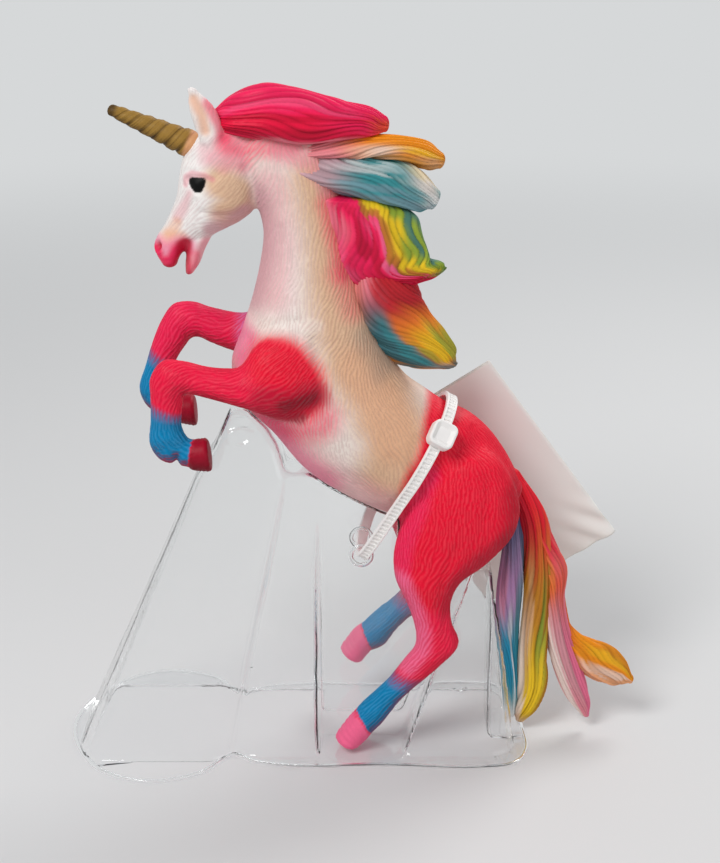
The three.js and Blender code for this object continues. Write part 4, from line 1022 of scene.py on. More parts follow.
# Castings: the rim turned in at a cut, and how the cap's middle is sunk
SKIRT = 0.8
JOIN_OF_HEAD = 115
HEAD_CAP_SHIFT = Vector((3, 0, -2))
CAP_SHARE = 0.4


class Skin:
    """The animal's shared skin with its castings, hair and paint."""

    def __init__(self):
        bm = bmesh.new()
        samples, casting, kind, place = [], [], [], []
        for owner, sort, rows, rings, sides, caps in SKIN_LOFTS:
            loft = Loft(rows, rings, sides, caps)
            copies = [loft.points]
            if sort == "ear":
                copies.append(self.far_ear(loft.points))
            for points in copies:
                add_tube(bm, points)
                amount = points.shape[0] * points.shape[1]
                samples.append(points.reshape(-1, 3))
                casting += [CASTINGS.index(owner)] * amount
                kind += [sort] * amount
                place.append(np.repeat(loft.place, points.shape[1]))
        bmesh.ops.recalc_face_normals(bm, faces=bm.faces)
        self.surface = Surface(fused_mesh(bm, size_mm("skin_grain")))
        self.surface.smooth(SKIN_SMOOTHING)
        self.read_samples(np.vstack(samples), np.array(casting), np.array(kind), np.concatenate(place))
        self.blend_joins()
        self.mould()
        self.paint()

    def far_ear(self, near):
        points = near * np.array([1, -1, 1])
        height = np.clip((points[..., 2] - FAR_EAR_ROOT) / FAR_EAR_RISE, 0, None)
        points[..., 0] += FAR_EAR_BACK * height
        points[..., 2] -= FAR_EAR_DOWN * height
        return points

    def read_samples(self, samples, casting, kind, place):
        """Every skin point takes its casting, kind and station from the nearest loft point."""
        tree = KDTree(len(samples))
        for index, sample in enumerate(samples.tolist()):
            tree.insert(sample, index)
        tree.balance()
        nearest = np.array([tree.find(p)[1] for p in self.surface.points.tolist()])
        self.kind = kind[nearest]
        self.place = place[nearest]
        for _ in range(SHARE_SPREAD):
            self.place = 0.5 * self.place + 0.5 * self.surface.mean_of_neighbours(self.place)
        owned = np.stack([(casting[nearest] == k).astype(float) for k in range(len(CASTINGS))], 1)
        self.shares = self.surface.spread(owned, SHARE_SPREAD)
        self.casting = self.surface.spread(self.shares, CUT_SPREAD).argmax(1)

    def blend_joins(self):
        """Softens the creases where one casting runs into the next."""
        near = self.surface.spread(self.shares, JOIN_SPREAD)
        self.surface.smooth(JOIN_SMOOTHING, JOIN_PULL * fade(near.max(1), *JOIN_FADE))

    def on(self, names):
        """1 on the named castings, 0 off them."""
        wanted = [CASTINGS.index(name) for name in names.split()]
        return np.clip(self.shares[:, wanted].sum(1), 0, 1)

    def mould(self):
        """Moves the points for muscles, eyes, nostrils, ears and hair."""
        surface = self.surface
        normals = surface.normals()
        flat = surface.points[:, [0, 2]]
        side = np.sign(surface.points[:, 1])
        head = self.on("head")
        facing = np.clip(fade(np.abs(normals[:, 1]), *SIDE_FADE) + self.on(ALL_LEGS), 0, 1)
        lift = np.zeros(surface.count)
        for depth, half_width, names, line in CREASES:
            lift -= depth * bell(distance_to_path(flat, line), half_width) * facing * self.on(names)
        cheek = fade(np.linalg.norm(flat - CHEEK_PLACE, axis=1), *CHEEK_FADE)
        lift += CHEEK_RISE * cheek * facing * head
        ring, rise = self.eye_ring(side, head)
        self.eye = fade(ring, *EYE_EDGE)
        lid = LID_SHARES[0] + LID_SHARES[1] * rise
        lift += EYE_BULGE * fade(ring, 0, EYE_EDGE[0]) - EYE_RIM[0] * bell(ring, *EYE_RIM[1:])
        lift += LID[0] * lid * bell(ring, *LID[1:]) - LID_FOLD[0] * lid * bell(ring, *LID_FOLD[1:])
        hole = np.linalg.norm(one_side(surface.points) - NOSTRIL, axis=1)
        self.nostril = bell(hole, NOSTRIL_HALF_WIDTH) * head
        lift -= NOSTRIL_DEPTH * self.nostril
        lift += NOSTRIL_RIM[0] * bell(hole, *NOSTRIL_RIM[1:]) * head
        outside = (self.kind == "ear") & (normals[:, 1] * side > EAR_OUTSIDE)
        hollow = bell(distance_to_path(flat, EAR_HOLLOW), EAR_HOLLOW_HALF_WIDTH)
        self.ear_hollow = np.where(outside, hollow, 0)
        lift -= EAR_HOLLOW_DEPTH * self.ear_hollow
        surface.points += normals * lift[:, None]
        surface.smooth(MOULD_SMOOTHING)
        normals = surface.normals()
        self.hair = surface.strokes(self.hair_run(flat, normals), HAIR_STROKES)
        plain = np.isin(self.kind, ["hoof", "upper_lip", "lower_lip"])
        bare = np.clip(plain + self.eye * 3 + self.ear_hollow + fade(ring, *BARE_ROUND_EYE), 0, 1)
        self.hairy = 1 - surface.spread(bare, BARE_SPREAD)
        depth = size_mm("fur_depth") * (1 - HEAD_HAIR * head)
        growth = GROWTH_DEPTH * np.sin(TURN * self.place / GROWTH_PITCH) * (self.kind == "hoof")
        surface.points += normals * (depth * self.hair * self.hairy + growth)[:, None]
        self.normals = surface.normals()

    def eye_ring(self, side, head):
        """Distance from the eye's middle, 1 on its edge, and the height over it from -1 to 1."""
        same = np.ones_like(side)
        away = self.surface.points - EYE * np.stack([same, side, same], 1)
        run = away[:, [0, 2]] @ EYE_RUN / EYE_HALF[0]
        rise = away[:, [0, 2]] @ EYE_RISE / EYE_HALF[1]
        level = np.clip(rise, -1, 1)
        narrowing = EYE_NARROWING[0] + EYE_NARROWING[1] * level
        ring = (np.abs(run / narrowing) ** EYE_POWER + np.abs(rise) ** EYE_POWER) ** (1 / EYE_POWER)
        return np.where((np.abs(away[:, 1]) < EYE_REACH) & (head > 0.5), ring, NO_EYE), level

    def hair_run(self, flat, normals):
        """The way the hair lies at each point, along the surface."""
        runs = np.array(HAIR_RUNS)
        gap = np.linalg.norm(flat[:, None] - runs[None, :, :2], axis=2)
        weight = 1 / (gap + HAIR_REACH) ** 3
        lie = unit((weight[:, :, None] * unit(runs[None, :, 2:])).sum(1))
        sway = HAIR_SWAY * lattice_noise(self.surface.points / HAIR_SWAY_SIZE, HAIR_SWAY_SEED)
        x = lie[:, 0] - sway * lie[:, 1]
        z = lie[:, 1] + sway * lie[:, 0]
        swayed = np.stack([x, np.zeros(self.surface.count), z], 1)
        return unit(swayed - normals * (swayed * normals).sum(1, keepdims=True))

    def paint(self):
        """Lays the airbrush passes, some of them painted shade or highlight, the blue legs with painted
        shade below, the hooves, painted shade under the legs, the eyes, and the painted shade and highlight
        of the hair.
        """
        surface = self.surface
        flat = surface.points[:, [0, 2]]
        upward = self.normals[:, 2]
        head = self.on("head")[:, None]
        legs = self.on(ALL_LEGS)[:, None]
        colour = tone("cream") * (1 - head) + tone("white") * head
        colour = colour * (1 - legs) + legs * (LEG_RED * tone("red") + LEG_PINK * tone("hot_pink"))
        hair = self.hair * self.hairy

        def lay(name, mask):
            edge = 4 * mask * (1 - mask)
            broken = np.clip(mask + (BROKEN_EDGE - HEAD_EDGE * head[:, 0]) * hair * edge, 0, 1)[:, None]
            colour[:] = blend(colour, tone(name), broken)

        wander = WANDER * lattice_noise(surface.points / WANDER_SIZE, WANDER_SEED)
        left = fade(surface.points[:, 1], -1, 1)
        for name, strength, full, gone, names, line in SPRAYS:
            mask = strength * fade(distance_to_path(flat, line) + wander, full, gone) * self.on(names)
            if "left" in names and "right" not in names:
                mask = mask * left
            if "right" in names and "left" not in names:
                mask = mask * (1 - left)
            lay(name, mask)
        for leg, (start, stop) in zip(LEGS, BLUE_RUNS):
            blue = fade(self.place, start + BLUE_FADES[0], start - BLUE_FADES[0])
            blue *= fade(self.place, stop - BLUE_FADES[1], stop + BLUE_FADES[1])
            blue *= self.on(leg) * (self.kind == "limb")
            lay("violet", BLUE_EDGE * 4 * blue * (1 - blue))
            lay("sky_blue", blue)
            # Painted shade: darker blue where the blue legs look down
            lay("painted_shade_blue", BLUE_UNDERSIDE_SHADE * blue * fade(upward, *BLUE_UNDERSIDE_SHADE_FADE))
        hoof = surface.mean_of_neighbours((self.kind == "hoof").astype(float))
        forehoof = hoof * self.on(FORELEGS)
        lay("pink", hoof * self.on(HIND_LEGS) * HIND_HOOF_PINK)
        lay("crimson", forehoof * FOREHOOF_CRIMSON)
        # Forehooves: part maroon all over, and darker where they look down, which is painted shade
        lay("maroon", forehoof * (FOREHOOF_MAROON_AND_SHADE[0] + FOREHOOF_MAROON_AND_SHADE[1] * fade(upward, *FOREHOOF_SHADE_FADE)))
        # Painted shade: crimson on the undersides of the legs, off the hooves
        underside_shade = fade(upward, *UNDER_LEG_SHADE_FADE) * self.on(ALL_LEGS)
        lay("crimson", UNDER_LEG_PAINTED_SHADE * underside_shade * (1 - hoof))
        lay("peach", EAR_PEACH * self.ear_hollow)
        lay("crimson", NOSTRIL_CRIMSON * np.clip(NOSTRIL_SPREAD * self.nostril, 0, 1))
        lay("black", self.eye)
        # Painted shade in the grooves between the moulded hairs, less on the head, and a painted highlight
        # on their ridges
        groove = np.clip(-self.hair, 0, 1) * self.hairy
        colour *= 1 - groove[:, None] * (HAIR_GROOVE_PAINTED_SHADE * (1 - HEAD_PAINTED_SHADE_CUT * head))
        ridge = np.clip(self.hair, 0, 1) * self.hairy
        colour += RIDGE_PAINTED_HIGHLIGHT * ridge[:, None] * (1 - colour)
        self.colour = np.clip(colour, 0, 1)

    def castings(self):
        """A bmesh for each casting, cut out of the skin and closed."""
        mesh = self.surface.mesh
        paint = mesh.attributes.new("Paint", "FLOAT_COLOR", "POINT")
        paint.data.foreach_set("color", opaque(self.colour).astype(np.float32).ravel())
        facing = mesh.attributes.new("Facing", "FLOAT_VECTOR", "POINT")
        facing.data.foreach_set("vector", self.normals.astype(np.float32).ravel())
        owner = self.casting[self.surface.first_corner]
        for index, name in enumerate(CASTINGS):
            bm = bmesh_of(mesh)
            others = [face for face, mine in zip(bm.faces, (owner == index).tolist()) if not mine]
            bmesh.ops.delete(bm, geom=others, context="FACES")
            keep_largest_island(bm)
            shade_smooth(bm)
            lie = bm.verts.layers.float_vector["Facing"]
            skirt = bmesh.ops.extrude_edge_only(bm, edges=open_edges(bm.edges))["geom"]
            for item in skirt:
                if isinstance(item, bmesh.types.BMVert):
                    item.co -= SKIRT * item[lie]
            for cap in bmesh.ops.holes_fill(bm, edges=open_edges(skirt), sides=0)["faces"]:
                heart = bmesh.ops.poke(bm, faces=[cap])["verts"][0]
                if heart.co.z > JOIN_OF_HEAD:
                    heart.co += HEAD_CAP_SHIFT
                else:
                    heart.co.y *= CAP_SHARE
            bmesh.ops.recalc_face_normals(bm, faces=bm.faces)
            yield name, bm
        bpy.data.meshes.remove(mesh)


def island_of(start):
    """The vertices that edges join to the start, with itself."""
    found = {start}
    stack = [start]
    while stack:
        vert = stack.pop()
        for edge in vert.link_edges:
            other = edge.other_vert(vert)
            if other not in found:
                found.add(other)
                stack.append(other)
    return found


def keep_largest_island(bm):
    """Drops loose scraps that a cut has left."""
    left = set(bm.verts)
    islands = []
    for start in bm.verts:
        if start in left:
            islands.append(island_of(start))
            left -= islands[-1]
    islands.sort(key=len)
    for island in islands[:-1]:
        bmesh.ops.delete(bm, geom=list(island), context="VERTS")


# Mane and tail locks: base paint, stations, strands round the lock, twist in turns, then bands of paint:
# paint, strength, place across from the first edge, half-width, and where it starts and stops. Some bands
# are painted highlight or painted shade, as noted at their rows.

UPPER_MANE = [
    ("hot_pink", CREST_LOCK, 30, 0.3, [
        # Painted highlight: lighter pink along the crest's upper side
        ("pink", 0.3, 0.22, 0.1, 0.1, 0.7),
        ("red", 0.7, 0.6, 0.22, -0.1, 0.6),
        ("crimson", 0.55, 0.48, 0.06, 0.1, 0.9),
        # Painted shade: crimson along the crest's lower side
        ("crimson", 0.7, 0.8, 0.16, -0.1, 0.75),
        ("blush", 0.85, 0.98, 0.12, 0.3, 0.75),
        ("coral", 0.85, 0.6, 0.45, 0.82, 1.3),
    ]),
    ("orange", ORANGE_LOCK, 22, -0.35, [
        ("blush", 0.9, 0.5, 0.9, -0.4, 0.38),
        ("cream", 0.7, 0.6, 0.4, 0.38, 0.62),
        # Painted shade: ochre along the lock's underside
        ("ochre", 0.75, 0.92, 0.2, 0.5, 1),
        ("yellow", 0.5, 0.35, 0.16, 0.58, 0.92),
        ("tan", 0.6, 0.7, 0.3, 0.75, 1),
        ("ochre", 0.7, 0.3, 0.4, 0.95, 1.3),
    ]),
    ("teal", TEAL_LOCK, 24, 0.35, [
        ("cream", 0.6, 0.5, 0.9, -0.4, 0.2),
        ("blush", 0.75, 0.5, 0.9, -0.4, 0.24),
        ("mauve", 0.8, 0.5, 0.9, 0.2, 0.4),
        ("white", 0.5, 0.2, 0.08, 0.34, 0.62),
        ("grey_blue", 0.6, 0.62, 0.1, 0.36, 0.75),
        ("cream", 0.9, 0.2, 0.3, 0.68, 0.96),
        ("yellow", 0.35, 0.05, 0.12, 0.66, 0.88),
        ("white", 0.8, 0.6, 0.35, 0.8, 1.3),
        ("grey_blue", 0.7, 0.92, 0.16, 0.36, 0.96),
    ]),
]
LOWER_MANE = [
    ("hot_pink", MIDDLE_LOCK, 40, 0.4, [
        ("crimson", 0.7, 0.6, 0.07, 0.1, 0.9),
        ("pink", 0.7, 0.43, 0.06, 0.2, 0.8),
        ("blush", 0.8, 1.02, 0.28, -0.4, 0.3),
        ("pink", 0.6, 1, 0.18, 0.3, 0.55),
        ("yellow", 1, 0.06, 0.26, -0.4, 0.95),
        ("ochre", 0.8, 0.33, 0.07, -0.4, 0.8),
        ("green", 0.9, 0, 0.13, -0.4, 1.3),
        ("deep_teal", 0.75, -0.1, 0.11, -0.4, 1.3),
        # Painted shade: deep crimson on the inner side of the lock's lower half
        ("crimson", 0.8, 0.74, 0.25, 0.5, 0.92),
        ("green", 0.9, 0.25, 0.4, 0.84, 1.3),
        ("deep_teal", 0.6, 0.2, 0.25, 0.92, 1.3),
    ]),
    ("orange", LOWER_LOCK, 34, -0.4, [
        ("crimson", 0.95, 0.3, 0.6, -0.4, 0.4),
        ("blush", 0.7, 0.85, 0.25, -0.4, 0.3),
        ("coral", 0.7, 0.25, 0.4, 0.4, 0.5),
        ("yellow", 0.8, 0.22, 0.14, 0.5, 0.85),
        ("deep_teal", 0.95, 0.78, 0.29, 0.27, 0.82),
        ("teal", 0.6, 0.6, 0.09, 0.36, 0.8),
        ("green", 0.75, 0.05, 0.09, 0.5, 0.9),
        ("green", 0.6, 0.43, 0.07, 0.5, 0.85),
        ("grey_blue", 0.75, 0.7, 0.22, 0.78, 0.96),
        ("cream", 0.7, 0.4, 0.13, 0.84, 0.97),
        ("deep_teal", 0.9, 0.3, 0.7, 0.88, 1.3),
    ]),
]
TAIL = [
    ("ochre", YELLOW_TAIL, 22, 0.4, [
        ("red", 0.95, 0.5, 0.9, -0.4, 0.3),
        ("crimson", 0.6, 0.8, 0.3, 0, 0.33),
        ("coral", 0.6, 0.2, 0.3, 0.26, 0.38),
        ("tan", 0.6, 0.75, 0.12, 0.36, 0.65),
        ("green", 0.8, 0.2, 0.14, 0.34, 0.7),
        ("yellow", 0.95, 0.45, 0.4, 0.58, 0.92),
        ("cream", 0.7, 0.9, 0.14, 0.5, 0.9),
        ("cream", 0.8, 0.5, 0.9, 0.94, 1.3),
    ]),
    ("teal", TEAL_TAIL, 20, -0.35, [
        ("violet", 0.9, 0.5, 0.9, -0.4, 0.2),
        ("lilac", 0.8, 0.6, 0.6, 0.16, 0.46),
        ("blush", 0.5, 0.8, 0.2, 0.25, 0.5),
        ("sky_blue", 0.6, 0.5, 0.5, 0.46, 0.78),
        ("white", 0.6, 0.35, 0.12, 0.4, 0.85),
        ("white", 0.85, 0.5, 0.9, 0.82, 1.3),
    ]),
    ("blush", CORAL_TAIL, 20, -0.4, [
        ("red", 0.9, 0.5, 0.9, -0.4, 0.27),
        ("coral", 0.95, 0.5, 0.9, 0.24, 0.45),
        ("orange", 0.5, 0.75, 0.2, 0.1, 0.4),
        ("mauve", 0.6, 0.45, 0.25, 0.42, 0.8),
        ("cream", 0.85, 0.88, 0.18, 0.48, 1.1),
        ("pink", 0.75, 0.1, 0.18, 0.5, 1.1),
    ]),
    ("orange", ORANGE_TAIL, 18, 0.35, [
        ("coral", 0.8, 0.5, 0.9, -0.4, 0.25),
        ("peach", 0.85, 0.82, 0.26, 0.35, 1.1),
        ("cream", 0.5, 0.66, 0.12, 0.45, 0.95),
        ("yellow", 0.5, 0.25, 0.14, 0.4, 0.9),
        ("ochre", 0.5, 0.05, 0.1, 0.5, 1),
    ]),
]

# Forms of a lock: its rings and sides, its clumps and strands, its flutes, and the painted shade in its
# grooves
LOCK_RINGS = 120
LOCK_CAP_RINGS = 10
LOCK_CAPS = (1.2, 1)
SIDES_PER_STRAND = 6
CLUMPS = 7
CLUMP_LEAN = 0.74
CLUMP_POWER = 0.8
STRAND_POWER = 0.7
THICK_LOCK = 2.5
THIN_LOCK_SHARE = 0.25
ROOT_FADE = (0.16, 0.02)
FLUTES = 3
FLUTE_DEPTH = 0.1
RELIEF_SHARES = (0.75, 0.5)
GROOVE_SHARES = (0.45, 0.55)
GROOVE_PAINTED_SHADE = 0.45
GROOVE_PAINTED_SHADE_POWER = 1.5

# Waves of a strand: height, turns along the lock, and shares of the angle and of the seed
STRAND_WAVES = ((0.28, 1.15, 1, 1), (0.12, 2.6, -2, 2))

# Bands of paint: how they fade, and how strands and clumps shift them
BAND_FADE = (0.6, 1.25)
BAND_END = (0.13, 0.1)
STRAND_SCATTER = (12.9898, 437.585)
CLUMP_SCATTER = (7.13, 91.7)
STRAND_SHIFT = 0.1
STRAND_WAVER = 0.03
STRAND_WAVERS = 9
CLUMP_SHIFT = 0.12
END_SHIFT = 0.08
STRAND_TONE = 0.14


def groove_wave(phase):
    """0 in a groove, 1 on the ridge between two grooves, once in a turn of phase."""
    return np.abs(np.sin(0.5 * phase)) ** STRAND_POWER


def layer_wave(phase):
    """Like groove_wave, but leaning, as strands that lie one over the next."""
    u = np.mod(phase / TURN, 1)
    return np.minimum(u / CLUMP_LEAN, (1 - u) / (1 - CLUMP_LEAN)) ** CLUMP_POWER


def scatter(number, seed, spacing):
    """A fixed scatter from -0.5 to 0.5 for each whole number."""
    step, size = spacing
    return np.mod(np.sin(number * step + seed) * size, 1) - 0.5


class Lock:
    """One lock of hair: a fluted, twisting loft with strands and bands of paint."""

    def __init__(self, base, rows, strands, twist, bands, seed):
        self.strands = strands
        self.twist = twist
        self.seed = seed
        sides = SIDES_PER_STRAND * strands
        self.loft = Loft(rows, LOCK_RINGS, sides, LOCK_CAPS, self.relief, LOCK_CAP_RINGS)
        self.colour = self.banded(base, bands)

    def flow(self, along, angle):
        """Angle of a strand, which waves along the lock."""
        turned = angle + TURN * self.twist * along
        for height, turns, by_angle, by_seed in STRAND_WAVES:
            turned = turned + height * np.sin(TURN * turns * along + by_angle * angle + by_seed * self.seed)
        return turned

    def relief(self, along, angle, radius):
        """Share of the plain radius, with flutes, clumps and strands."""
        flow = self.flow(along, angle)
        clump = layer_wave(CLUMPS * flow)
        strand = groove_wave(self.strands * flow)
        thickness = np.clip(radius / THICK_LOCK, THIN_LOCK_SHARE, 1)
        depth = size_mm("strand_depth") * thickness * fade(along, *ROOT_FADE)
        self.groove = np.clip(1 - GROOVE_SHARES[0] * clump - GROOVE_SHARES[1] * strand, 0, 1)
        flute = FLUTE_DEPTH * np.cos(FLUTES * angle + TURN * self.twist * along)
        cut = RELIEF_SHARES[0] * (1 - clump) + RELIEF_SHARES[1] * (1 - strand)
        return 1 + flute - depth / radius * cut

    def banded(self, base, bands):
        """The base paint with its bands, uneven from strand to strand, with painted shade in the grooves.
        """
        along, angle = self.loft.along[:, None], self.loft.angle[None, :]
        turned = np.mod(self.flow(along, angle), TURN)
        strand = np.floor(self.strands * turned / TURN)
        clump = np.floor(CLUMPS * turned / TURN)
        spread = scatter(strand, self.seed, STRAND_SCATTER)
        across = (1 - np.cos(angle)) / 2 + STRAND_SHIFT * spread
        across = across + STRAND_WAVER * np.sin(STRAND_WAVERS * along + strand)
        across = across + CLUMP_SHIFT * scatter(clump, self.seed, CLUMP_SCATTER)
        along = along + END_SHIFT * spread
        colour = np.ones(across.shape + (1,)) * tone(base)
        for name, strength, centre, half_width, start, stop in bands:
            mask = strength * fade(np.abs(across - centre), *(share * half_width for share in BAND_FADE))
            mask = mask * fade(along, start + BAND_END[0], start - BAND_END[1])
            mask = mask * fade(along, stop - BAND_END[0], stop + BAND_END[1])
            colour = blend(colour, tone(name), mask[..., None])
        colour = colour * (1 + STRAND_TONE * spread[..., None])
        # Painted shade: darker in the grooves between strands and clumps
        colour = colour * (1 - GROOVE_PAINTED_SHADE * self.groove[..., None] ** GROOVE_PAINTED_SHADE_POWER)
        return np.clip(colour, 0, 1)


def build_locks(name, locks, slot, material):
    bm = bmesh.new()
    layer = bm.verts.layers.float_color.new("Paint")
    for index, row in enumerate(locks):
        lock = Lock(*row, seed=index + 1)
        add_tube(bm, lock.loft.points, [(layer, opaque(lock.colour))])
    bmesh.ops.recalc_face_normals(bm, faces=bm.faces)
    shade_smooth(bm)
    return place_object(bm, name + "_locks", "figure", slot, material, [name])


# Operators

class UNICORN_OT_animal(bpy.types.Operator):
    """Build the body, the head and the four legs"""

    bl_idname = "unicorn.animal"
    bl_label = "Body, head and legs"

    def execute(self, context):
        slots = {"body": "body_paint", "head": "head_paint"}
        paints = ("body_paint", "leg_paint", "head_paint")
        materials = {slot: painted_material(slot, SKIN_ROUGHNESS) for slot in paints}
        for name, bm in Skin().castings():
            slot = slots.get(name, "leg_paint")
            place_object(bm, name + "_casting", "figure", slot, materials[slot], [name])
        return {"FINISHED"}


# Horn: its line, its spiral, shares of its radius, and its paint, with painted shade in the grooves and
# underneath

HORN_ROOT = np.array([-35.6, 0, 138])
HORN_RUN = unit(np.array([-0.915, 0, 0.403]))
HORN_LENGTH = 17.5
HORN_SUNK = 2
HORN_RADII = (2.95, 1.1)
HORN_TAPER = 1.15
HORN_TURNS = 3.5
HORN_RINGS = 200
HORN_SIDES = 96
HORN_ROUNDED = 0.05
HORN_RIDGE_POWER = 0.8
HORN_PLAIN = 0.9
HORN_RIDGE = 0.15
HORN_LUMP = 0.05
HORN_STREAK = 0.025
HORN_NOISE_RADIUS = 1.1
HORN_NOISE_LENGTH = 9
HORN_STREAKS = np.array([4, 4, 0.5])
HORN_LUMP_SEED = 6
HORN_STREAK_SEED = 7
HORN_GROOVE_SHADE_FADE = (0.1, 0.8)
HORN_UNDERSIDE_SHADE_FADE = (0.9, -0.3)
HORN_PAINTED_SHADE_SHARE = 0.5
HORN_DARK_STREAK = 0.4
HORN_DARK_LESS = 0.08
HORN_ROOT_PEACH = 0.65
HORN_ROOT_FADE = (0.1, 0.15)
HORN_TIP_BROWN = 0.8
HORN_TIP_FADE = (0.95, 0.88)


class UNICORN_OT_horn(bpy.types.Operator):
    """Build the spiral horn"""

    bl_idname = "unicorn.horn"
    bl_label = "Horn"

    def execute(self, context):
        t = np.linspace(0, 1, HORN_RINGS)[:, None]
        angle = angles(HORN_SIDES)[None, :]
        radius = HORN_RADII[0] + (HORN_RADII[1] - HORN_RADII[0]) * t**HORN_TAPER
        turned = angle - TURN * HORN_TURNS * t
        ridge = np.abs(np.cos(turned)) ** HORN_RIDGE_POWER
        x = HORN_NOISE_RADIUS * np.cos(turned)
        y = HORN_NOISE_RADIUS * np.sin(turned)
        around = np.stack([x, y, HORN_NOISE_LENGTH * t + 0 * angle], 2).reshape(-1, 3)
        lump = lattice_noise(around, HORN_LUMP_SEED).reshape(ridge.shape)
        streak = lattice_noise(around * HORN_STREAKS, HORN_STREAK_SEED).reshape(ridge.shape)
        reach = radius * (HORN_PLAIN + HORN_RIDGE * ridge + HORN_LUMP * lump + HORN_STREAK * streak)
        rounded = ((t - (1 - HORN_ROUNDED)) / HORN_ROUNDED).clip(0, 1)
        reach = reach * np.sqrt(np.clip(1 - rounded ** 2, 0, 1))
        up = np.array([-HORN_RUN[2], 0, HORN_RUN[0]])
        middle = HORN_ROOT + HORN_RUN * (-HORN_SUNK + t * (HORN_LENGTH + HORN_SUNK + 0.5 * HORN_RADII[1]))
        points = middle[:, None] + (reach * np.cos(angle))[..., None] * up
        points[..., 1] += reach * np.sin(angle)
        # Painted shade: darker brown in the spiral's grooves and on the horn's underside, with darker
        # streaks of uneven tone
        groove = fade(ridge, *HORN_GROOVE_SHADE_FADE)[..., None]
        below = fade(np.cos(angle), *HORN_UNDERSIDE_SHADE_FADE)[..., None]
        dark = HORN_PAINTED_SHADE_SHARE * groove + HORN_PAINTED_SHADE_SHARE * below
        dark = np.clip(dark + HORN_DARK_STREAK * streak[..., None] - HORN_DARK_LESS, 0, 1)
        colour = blend(tone("horn_gold"), tone("horn_brown"), dark)
        colour = blend(colour, tone("peach"), HORN_ROOT_PEACH * fade(t, *HORN_ROOT_FADE)[..., None])
        colour = blend(colour, tone("horn_brown"), HORN_TIP_BROWN * fade(t, *HORN_TIP_FADE)[..., None])
        bm = bmesh.new()
        layer = bm.verts.layers.float_color.new("Paint")
        add_tube(bm, points, [(layer, opaque(colour))])
        bmesh.ops.holes_fill(bm, edges=open_edges(bm.edges), sides=0)
        bmesh.ops.recalc_face_normals(bm, faces=bm.faces)
        for face in bm.faces:
            face.smooth = len(face.verts) < 5
        material = painted_material("horn_paint", HORN_ROUGHNESS)
        place_object(bm, "horn_casting", "figure", "horn_paint", material, ["horn"])
        return {"FINISHED"}


class UNICORN_OT_hair(bpy.types.Operator):
    """Build the two mane castings and the tail"""

    bl_idname = "unicorn.hair"
    bl_label = "Mane and tail"

    def execute(self, context):
        mane_paint = painted_material("mane_paint", HAIR_ROUGHNESS)
        tail_paint = painted_material("tail_paint", HAIR_ROUGHNESS)
        build_locks("mane_upper", UPPER_MANE, "mane_paint", mane_paint)
        build_locks("mane_lower", LOWER_MANE, "mane_paint", mane_paint)
        build_locks("tail", TAIL, "tail_paint", tail_paint)
        return {"FINISHED"}


CLEAR_INPUTS = {
    "Roughness": 0.04,
    "Base Color": (0.985, 0.99, 0.99, 1),
    "Transmission Weight": 1.0,
    "IOR": 1.46,
}
CLEAR_SHADOW = (0.95, 0.955, 0.96, 1)


def clear_material():
    """Clear sheet that lets light through to what is behind and below it."""
    material, tree, shader = material_with("clear_sheet", CLEAR_INPUTS)
    add_grain(tree, shader, SHEET_GRAIN)
    path = node(tree, "ShaderNodeLightPath")
    through = node(tree, "ShaderNodeBsdfTransparent", Color=CLEAR_SHADOW)
    show_mix(tree, path.outputs["Is Shadow Ray"], shader.outputs["BSDF"], through.outputs["BSDF"])
    return material


HOLE_RIM = 1


def cut_hole(bm, axes, centre, radius):
    """Cuts a round hole across two axes through every wall, and draws its rims to the circle."""
    def reach(vert):
        return math.hypot(*(vert.co[axis] - centre[axis] for axis in axes))

    hole = [face for face in bm.faces if all(reach(vert) < radius for vert in face.verts)]
    bmesh.ops.delete(bm, geom=hole, context="FACES")
    for vert in bm.verts:
        if vert.is_boundary and reach(vert) < radius + HOLE_RIM:
            scale = radius / reach(vert)
            for axis in axes:
                vert.co[axis] = centre[axis] + scale * (vert.co[axis] - centre[axis])


# Clear stand: half of the flange's outline x, y, then the sheet and the eyelet for the strap

FLANGE = [
    (-67.5, 0),
    (-65.2, 10.4),
    (-58, 21.2),
    (-47, 25.5),
    (-36, 22),
    (-29, 14.2),
    (-24, 17),
    (-14, 19),
    (6, 18.6),
    (26, 19.6),
    (35, 17.8),
    (38.2, 12),
    (38.2, 0),
]
FLANGE_TOP = 0.6
FLANGE_POINTS = 220
FLANGE_SINK = 0.02
RIPPLE = 0.1
RIPPLE_SIZE = 6
RIPPLE_SEED = 8
RIPPLE_FADE = 0.3
RIPPLE_STEP = 2.5
RIPPLE_RUNS = ((0, -67, 38), (1, -25, 25))
STAND_SHEET = 0.48
STAND_BACK = 36.8
STAND_OPEN_BELOW = FLANGE_TOP + 0.35
STAND_SMOOTHING = 6
STAND_WALL_GRAIN = 0.27
STAND_GRAIN = 0.63
STAND_PLUG_SIZE = (112, 56, 2.2)
STAND_PLUG_PLACE = (-15, 0, -0.8)
SHEET_EDGE = math.radians(40)
SHEET_WAVES = ((0.13, 9, 3), (0.05, 3.2, 4))
SHEET_WAVE_FADE = (3, 0.8)
PRESSED_BOSS = np.array([-26.1, 5.0, 74.5])
BOSS_SHAPE = np.array([0.75, 1, 1.2])
BOSS_RING = (0.4, 0.55, 1.9)
EYELET_SITE = np.array([0.3, 5.2, 46.4])
EYELET_PLUG = 2.7
EYELET_PLUG_SIDES = 32
EYELET_PLUG_SHORT = 0.1
EYELET_HOLE = 2.0
EYELET_RING = 2.3
EYELET_BEAD = (0.5, 0.04)
EYELET_POINTS = 60
RIM_BEAD = (0.44, 0.05)
RIM_POINTS = 360
BEAD_SIDES = 12
BEAD_WAVE = 0.7
LEAST_HEIGHT = 0.02
SAME_CORNER = 1e-4


